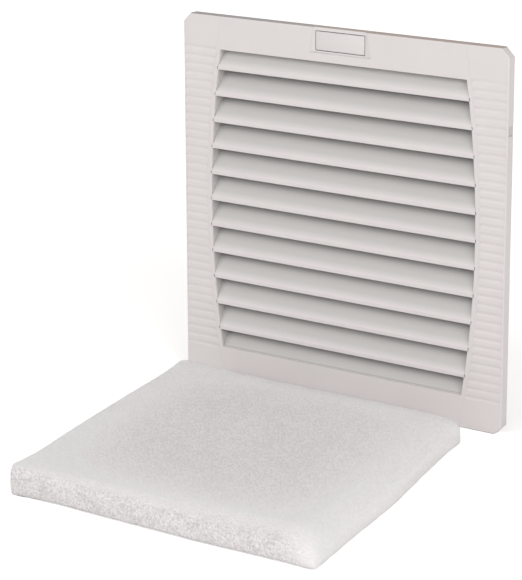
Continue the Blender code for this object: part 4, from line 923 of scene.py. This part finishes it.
def make_fan_frame(finish):
    """The cast frame with round bore and barrel, two flanges with flats, struts, motor plate and tube."""
    low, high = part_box("fan_frame")
    front, rear = low.y - ORIGIN.y, high.y - ORIGIN.y
    radius = (high.x - low.x) / 2
    centre = Vector((0, 0, FAN_MIDDLE))
    bore, e = radius - FAN_RIM, FAN_EDGE
    barrel = bore + FAN_WALL
    half = [(bore, front + e), (bore + e, front), (radius - e, front), (radius, front + e)]
    half += [(radius, front + FAN_FLANGE - e), (radius - e, front + FAN_FLANGE)]
    half += [(barrel + FAN_FILLET, front + FAN_FLANGE), (barrel, front + FAN_FLANGE + FAN_FILLET)]
    profile = half + [(out, front + rear - y) for out, y in reversed(half)]
    ring = turned(profile + profile[:1], centre, 96)
    bmesh.ops.remove_doubles(ring, verts=ring.verts, dist=0.000001)
    for side in (-1, 1):
        flat = FAN_MIDDLE + side * (radius - FAN_FLAT_CUT)
        bmesh.ops.edgenet_fill(ring, edges=sliced(ring, (0, 0, flat), (0, 0, side)))
    beyond = 0.001
    holes = [rod(spot, FAN_HOLE_RADIUS, front - beyond, rear + beyond, 32) for spot in fan_holes(radius)]
    ring = combined(ring, "DIFFERENCE", holes)
    plate, thick = MOTOR_PLATE
    plate_front = rear - thick
    ends = (plate / 2, bore + FAN_WALL / 2)
    joined = [make_strut(*ends, rear, math.radians(45 + 90 * n)) for n in range(4)]
    inner, outer, length = BEARING_TUBE
    tube_front = plate_front - length
    profile = [(0, plate_front), (outer, plate_front), (plate - e, plate_front), (plate, plate_front + e)]
    profile += [(plate, rear - e), (plate - e, rear), (0, rear)]
    joined.append(turned(profile, centre, 96))
    joined.append(rod(centre, outer, tube_front, rear - beyond, 48))
    shape = combined(ring, "UNION", joined)
    shape = combined(shape, "DIFFERENCE", [rod(centre, inner, tube_front - beyond, plate_front, 48)])
    piece = add_mesh("fan_casting", shape, finish, "base", 35, weighted=True)
    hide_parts("fan_frame")


def make_guard(finish):
    """The wire guard: rings, spokes welded across them, and a loop round each screw."""
    low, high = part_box("fan_frame")
    radius = (high.x - low.x) / 2
    centre = Vector((0, high.y - ORIGIN.y + FIT_GAP + WIRE_RADIUS, FAN_MIDDLE))
    step = (radius - FAN_RIM - GUARD_EDGE) / GUARD_RINGS
    others = [wire(circle(centre, n * step, 96), WIRE_RADIUS, True) for n in range(2, GUARD_RINGS + 1)]
    for spot in fan_holes(radius):
        flat = Vector((spot.x, centre.y, spot.z))
        out = (flat - centre).normalized()
        lifted = centre + Vector((0, WIRE_RADIUS / 3, 0))
        ends = (step - WIRE_RADIUS / 2, (flat - centre).length - GUARD_LOOP - SPOKE_SHORT)
        others.append(wire([lifted + out * end for end in ends], SPOKE_RADIUS, False))
        others.append(wire(circle(flat, GUARD_LOOP, 40), WIRE_RADIUS, True))
    shape = combined(wire(circle(centre, step, 48), WIRE_RADIUS, True), "UNION", others)
    piece = add_mesh("wire_guard", shape, finish, "base", 50)
    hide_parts("finger_guard")


# Spring tongue


def make_tongue(finish):
    """The tongue as two pieces riding on the cover: the legs, which stay on their screws, and the arm."""
    source = frame["nodes"]["latch_tongue"]
    low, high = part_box("latch_tongue")
    near = Vector((2 * low.x, low.y - TONGUE_THICKNESS, low.z + TONGUE_THICKNESS + 0.00005))
    far = Vector((2 * high.x, low.y + TONGUE_THICKNESS + 0.0001, high.z + TONGUE_THICKNESS))
    for name, operation in (("tongue_legs", "INTERSECT"), ("tongue_arm", "DIFFERENCE")):
        shape = bmesh.new()
        shape.from_mesh(source.data)
        bmesh.ops.remove_doubles(shape, verts=shape.verts, dist=0.000005)
        shape = combined(shape, operation, [block(near, far)])
        bmesh.ops.translate(shape, verts=shape.verts, vec=-ORIGIN)
        piece = add_mesh(name, shape, finish, "cover", 30)
        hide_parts("latch_tongue")
    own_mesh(piece)


# Filter mat


def make_mat(finish):
    """The mat as a stuffed pad: puffed by a short cloth simulation, then given clumps and a ragged edge."""
    source = frame["nodes"]["filter_mat"]
    mesh = source.data.copy()
    mesh.name = "mat_pad"
    pad = placed("mat_pad", mesh)
    mesh.materials.clear()
    mesh.materials.append(finish)
    bpy.context.view_layer.objects.active = pad
    for vertex in mesh.vertices:
        across, forward = mat_share(vertex.co)
        vertex.co.xy = ORIGIN.xy + Vector(MAT_MIDDLE) + Vector((across, -forward))
    remesh = pad.modifiers.new("Even mesh", "REMESH")
    remesh.mode = "VOXEL"
    remesh.voxel_size = MAT_VOXEL
    flatten(pad)
    puff(pad, MAT_PUFF)
    finer = pad.modifiers.new("Finer", "SUBSURF")
    finer.levels = finer.render_levels = 1
    flatten(pad)
    for vertex in pad.data.vertices:
        spot = vertex.co.xy - ORIGIN.xy - Vector(MAT_MIDDLE)
        vertex.co.xy = ORIGIN.xy + Vector(MAT_MIDDLE) + MAT_ACROSS * spot.x - MAT_FORWARD * spot.y
    settle(pad)
    ruffle(pad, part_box("filter_mat"))
    pad.data.shade_smooth()
    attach(pad, "base")
    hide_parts("filter_mat")


def mat_share(spot):
    """How far a point lies from the mat's middle along its two slanting edge directions."""
    off = spot.xy - ORIGIN.xy - Vector(MAT_MIDDLE)
    scale = MAT_ACROSS.cross(MAT_FORWARD)
    return off.cross(MAT_FORWARD) / scale, MAT_ACROSS.cross(off) / scale


def flatten(piece):
    """Makes the modifiers' result the piece's own mesh."""
    graph = bpy.context.evaluated_depsgraph_get()
    mesh = bpy.data.meshes.new_from_object(piece.evaluated_get(graph))
    piece.modifiers.clear()
    piece.data = mesh


def puff(pad, limit):
    scene = bpy.context.scene
    before = [vertex.co.copy() for vertex in pad.data.vertices]
    cloth = pad.modifiers.new("Cloth", "CLOTH")
    settings = cloth.settings
    settings.quality = 6
    settings.mass = 0.15
    settings.tension_stiffness = settings.compression_stiffness = 12
    settings.shear_stiffness = 6
    settings.bending_stiffness = 0.4
    settings.use_pressure = True
    settings.uniform_pressure_force = 4
    settings.effector_weights.gravity = 0
    cloth.point_cache.frame_start, cloth.point_cache.frame_end = 1, 20
    for step in range(1, 21):
        scene.frame_set(step)
    flatten(pad)
    scene.frame_set(1)
    for vertex, start in zip(pad.data.vertices, before):
        move = vertex.co - start
        if move.length > limit:
            vertex.co = start + move * (limit / move.length)


def roll(distance, width):
    """How far a rounded edge has come down, 1 at the edge itself and 0 from the width inwards."""
    share = min(1.0, max(0.0, distance / width))
    return 1 - math.sqrt(1 - (1 - share) ** 2)


def between(pair, share):
    return pair[0] + share * (pair[1] - pair[0])


def settle(pad):
    """Rolls the mat's front and right edges off and lets its outline belly out, as in the photograph."""
    for vertex in pad.data.vertices:
        sideways, frontwards = mat_share(vertex.co)
        u, v = sideways / (MAT_WIDTH / 2), frontwards / (MAT_LENGTH / 2)
        rightward = min(1.0, max(0.0, (u + 1) / 2))
        frontward = min(1.0, max(0.0, (v + 1) / 2))
        front = roll((1 - v) * MAT_LENGTH / 2, between(MAT_ROLL_FRONT, rightward))
        right = roll((1 - u) * MAT_WIDTH / 2, MAT_ROLL_RIGHT)
        keep = 1 - between(MAT_DROP_FRONT, rightward) * front
        keep *= 1 - between(MAT_DROP_RIGHT, 1 - frontward) * right
        corner = (abs(v) * max(0.0, -u)) ** 8
        raised = (vertex.co.z - ORIGIN.z) * keep
        vertex.co.z = ORIGIN.z + raised + (raised - MAT_WAIST) * MAT_CORNER_STRETCH * corner
        bend = math.sin(math.pi * frontward)
        belly = MAT_BELLY_RIGHT * max(0.0, u) ** 3 - MAT_BELLY_LEFT * max(0.0, -u) ** 3
        shift = MAT_ACROSS * belly * bend
        shift += MAT_FORWARD * MAT_BELLY_FRONT * max(0.0, v) ** 3 * math.sin(math.pi * rightward)
        shift += (MAT_FORWARD * math.copysign(1.0, v) - MAT_ACROSS) * MAT_CORNER_LEFT * corner
        corner = (max(0.0, -v) * max(0.0, u)) ** 8
        shift += (MAT_ACROSS - MAT_FORWARD * 0.5) * MAT_CORNER_RIGHT * corner
        vertex.co.xy += shift


def ruffle(pad, box):
    """Clumps of fibre on the faces, and a softer, more ragged edge. It stays near the CAD piece's box."""
    low, high = box
    mesh = pad.data
    normals = [vertex.normal.copy() for vertex in mesh.vertices]
    for vertex, normal in zip(mesh.vertices, normals):
        spot = vertex.co
        broad = noise.noise(spot * 15)
        middle = noise.noise(spot * 90 + Vector((7, 3, 1)))
        fine = noise.noise(spot * 260 + Vector((2, 9, 5)))
        side = 1 - abs(normal.z)
        push = 0.0005 * broad + 0.00015 * middle + 0.0001 * fine
        push += side * (0.0008 * broad + 0.00005 * middle + 0.00025 * fine)
        vertex.co = spot + normal * push
        for axis in range(3):
            near, far = low[axis] - MAT_RAGGED, high[axis] + MAT_RAGGED
            vertex.co[axis] = min(far, max(near, vertex.co[axis]))
        vertex.co.z = min(high.z + 0.0003, max(vertex.co.z, low.z))


# Stage, light and camera


def seen_or_mirrored(tree):
    """1 for what the camera sees itself, in metal or through glass, and 0 for light that falls on things."""
    path = tree.nodes.new("ShaderNodeLightPath").outputs
    seen = math_node(tree, "MAXIMUM", path["Is Camera Ray"], path["Is Transmission Ray"])
    return math_node(tree, "MAXIMUM", seen, path["Is Glossy Ray"])


def make_stage():
    scene = bpy.context.scene
    floor_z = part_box("cover_grille")[0].z
    shape = bmesh.new()
    corners = [shape.verts.new((x, y, floor_z)) for x, y in ((-6, -6), (6, -6), (6, 6), (-6, 6))]
    shape.faces.new(corners)
    floor = linked("floor", shape)
    made = bpy.data.materials.new("floor_white")
    tree, surface = bare_tree(made, "ShaderNodeOutputMaterial")
    matt = node(tree, "ShaderNodeBsdfDiffuse", Color=(0.93, 0.92, 0.91))
    place = tree.nodes.new("ShaderNodeTexCoord").outputs["Object"]
    away = node(tree, "ShaderNodeVectorMath", {"operation": "LENGTH"}, i0=place).outputs["Value"]
    strength = remap(tree, away, 0.3, 1.6, 0.46, 0.62)
    glow = node(tree, "ShaderNodeEmission", Color=(1.0, 0.995, 0.99), Strength=strength)
    dark = node(tree, "ShaderNodeEmission", Color=(0, 0, 0), Strength=0.0)
    seen = seen_or_mirrored(tree)
    lift = node(tree, "ShaderNodeMixShader", i0=seen, i1=dark.outputs[0], i2=glow.outputs[0])
    total = node(tree, "ShaderNodeAddShader", i0=matt.outputs[0], i1=lift.outputs[0])
    tree.links.new(total.outputs[0], surface)
    floor.data.materials.append(made)

    world = bpy.data.worlds.new("studio")
    scene.world = world
    tree, surface = bare_tree(world, "ShaderNodeOutputWorld")
    way = xyz_of(tree, "Generated")
    height = remap(tree, way["Z"], 0.0, 1.0, 0.40, 0.59)
    front = remap(tree, way["Y"], -1.0, 1.0, 1.2, 0.6)
    strength = product(tree, height, front)
    soft = node(tree, "ShaderNodeBackground", Color=(1.0, 0.99, 0.985), Strength=strength)
    white = node(tree, "ShaderNodeBackground", Color=(1.0, 0.99, 0.985), Strength=1.0)
    seen = seen_or_mirrored(tree)
    mixed = node(tree, "ShaderNodeMixShader", i0=seen, i1=soft.outputs[0], i2=white.outputs[0])
    tree.links.new(mixed.outputs[0], surface)

    add_light("key", (1.65, -1.35, 1.05), (0, 0, 0.12), 1.4, 19.5, (1.0, 0.985, 0.975))
    add_light("fill", (-1.2, -1.9, 1.1), (0, -0.1, 0.08), 1.7, 15.4, (0.995, 0.995, 1.0))
    add_light("side", (1.9, -0.7, 0.40), (0.12, -0.17, 0.01), 0.9, 4.0, (1.0, 0.99, 0.99))


def add_light(name, place, target, size, watts, colour):
    data = bpy.data.lights.new(name, "AREA")
    data.shape = "DISK"
    data.size = size
    data.energy = watts
    data.color = colour
    light = placed(name, data)
    light.location = place
    light.rotation_euler = (Vector(target) - Vector(place)).to_track_quat("-Z", "Y").to_euler()
    light.visible_camera = False


def make_camera():
    azimuth, elevation, roll = (math.radians(angle) for angle in (AZIMUTH, ELEVATION, ROLL))
    level = math.cos(elevation)
    back = Vector((math.sin(azimuth) * level, -math.cos(azimuth) * level, math.sin(elevation)))
    right = (-back).cross(Vector((0, 0, 1))).normalized()
    up = right.cross(-back)
    across = right * math.cos(roll) + up * math.sin(roll)
    upright = up * math.cos(roll) - right * math.sin(roll)
    data = bpy.data.cameras.new("camera")
    data.lens = LENS
    data.sensor_width = 36
    data.clip_end = 20
    camera = placed("camera", data)
    turn = Matrix((across, upright, back)).transposed().to_4x4()
    camera.matrix_world = Matrix.Translation(Vector(CAMERA_PLACE)) @ turn
    bpy.context.scene.camera = camera


# CAD nodes that stay shown


def smooth_edges():
    """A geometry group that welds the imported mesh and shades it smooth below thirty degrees."""
    group = bpy.data.node_groups.new("Smooth by angle", "GeometryNodeTree")
    group.interface.new_socket("Geometry", in_out="INPUT", socket_type="NodeSocketGeometry")
    group.interface.new_socket("Geometry", in_out="OUTPUT", socket_type="NodeSocketGeometry")
    nodes, links = group.nodes, group.links
    start, end = nodes.new("NodeGroupInput"), nodes.new("NodeGroupOutput")
    weld = nodes.new("GeometryNodeMergeByDistance")
    weld.inputs["Distance"].default_value = 0.000005
    drop = nodes.new("GeometryNodeRemoveAttribute")
    drop.inputs["Name"].default_value = "custom_normal"
    angle = nodes.new("GeometryNodeInputMeshEdgeAngle")
    below = nodes.new("FunctionNodeCompare")
    below.data_type, below.operation = "FLOAT", "LESS_THAN"
    below.inputs["B"].default_value = math.radians(30)
    soft_edges = nodes.new("GeometryNodeSetShadeSmooth")
    soft_edges.domain = "EDGE"
    soft_faces = nodes.new("GeometryNodeSetShadeSmooth")
    soft_faces.domain = "FACE"
    chain = (start, weld, drop, soft_faces, soft_edges, end)
    for before, after in zip(chain, chain[1:]):
        links.new(before.outputs[0], after.inputs[0])
    links.new(angle.outputs["Unsigned Angle"], below.inputs["A"])
    links.new(below.outputs["Result"], soft_edges.inputs["Shade Smooth"])
    return group


def dress(finishes):
    """Gives every CAD node its slot's finish and smooth shading."""
    group = smooth_edges()
    for entry in frame["record"]["subparts"]:
        piece = frame["nodes"][entry["node"]]
        piece.data.materials.clear()
        piece.data.materials.append(finishes[entry["material_slot"]])
        modifier = piece.modifiers.new("Smooth by angle", "NODES")
        modifier.node_group = group


def main():
    looks = {
        "cover_plastic": (plastic, (0.695, 0.660, 0.655), 0.5, 1.12, TOP_EDGE_SHADE_AND_REFLECTION, FIELD_PAINTED_SHADE),
        "frame_plastic": (plastic, (0.60, 0.575, 0.565), 0.55),
        "black_plastic": (plastic, (0.022, 0.022, 0.024), 0.45, 1.6),
        "gasket_foam": (foam, (0.035, 0.035, 0.037)),
        "filter_fibre": (fibre, (0.962, 0.912, 0.920)),
        "cast_frame": (cast_metal, (0.028, 0.028, 0.030), 0.5),
        "spring_steel": (metal, (0.55, 0.55, 0.56), 0.28, (1, 8, 1)),
        "plated_steel": (metal, (0.62, 0.62, 0.60), 0.3),
        "motor_iron": (laminations, (0.30, 0.29, 0.28)),
        "coil_copper": (windings, (0.72, 0.30, 0.12)),
        "terminal_brass": (metal, (0.72, 0.55, 0.28), 0.32),
    }
    finishes = {name: make(name, *levels) for name, (make, *levels) in looks.items()}
    dress(finishes)
    cover = finishes["cover_plastic"]
    shell = make_cover_shell(cover)
    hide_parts("cover_grille")
    make_louvres(cover)
    make_sill(cover)
    make_hinge_lugs(cover)
    make_fan_frame(finishes["cast_frame"])
    make_guard(finishes["plated_steel"])
    make_tongue(finishes["spring_steel"])
    make_mat(finishes["filter_fibre"])
    make_stage()
    make_camera()
    bpy.context.scene.view_settings.view_transform = "Standard"


main()
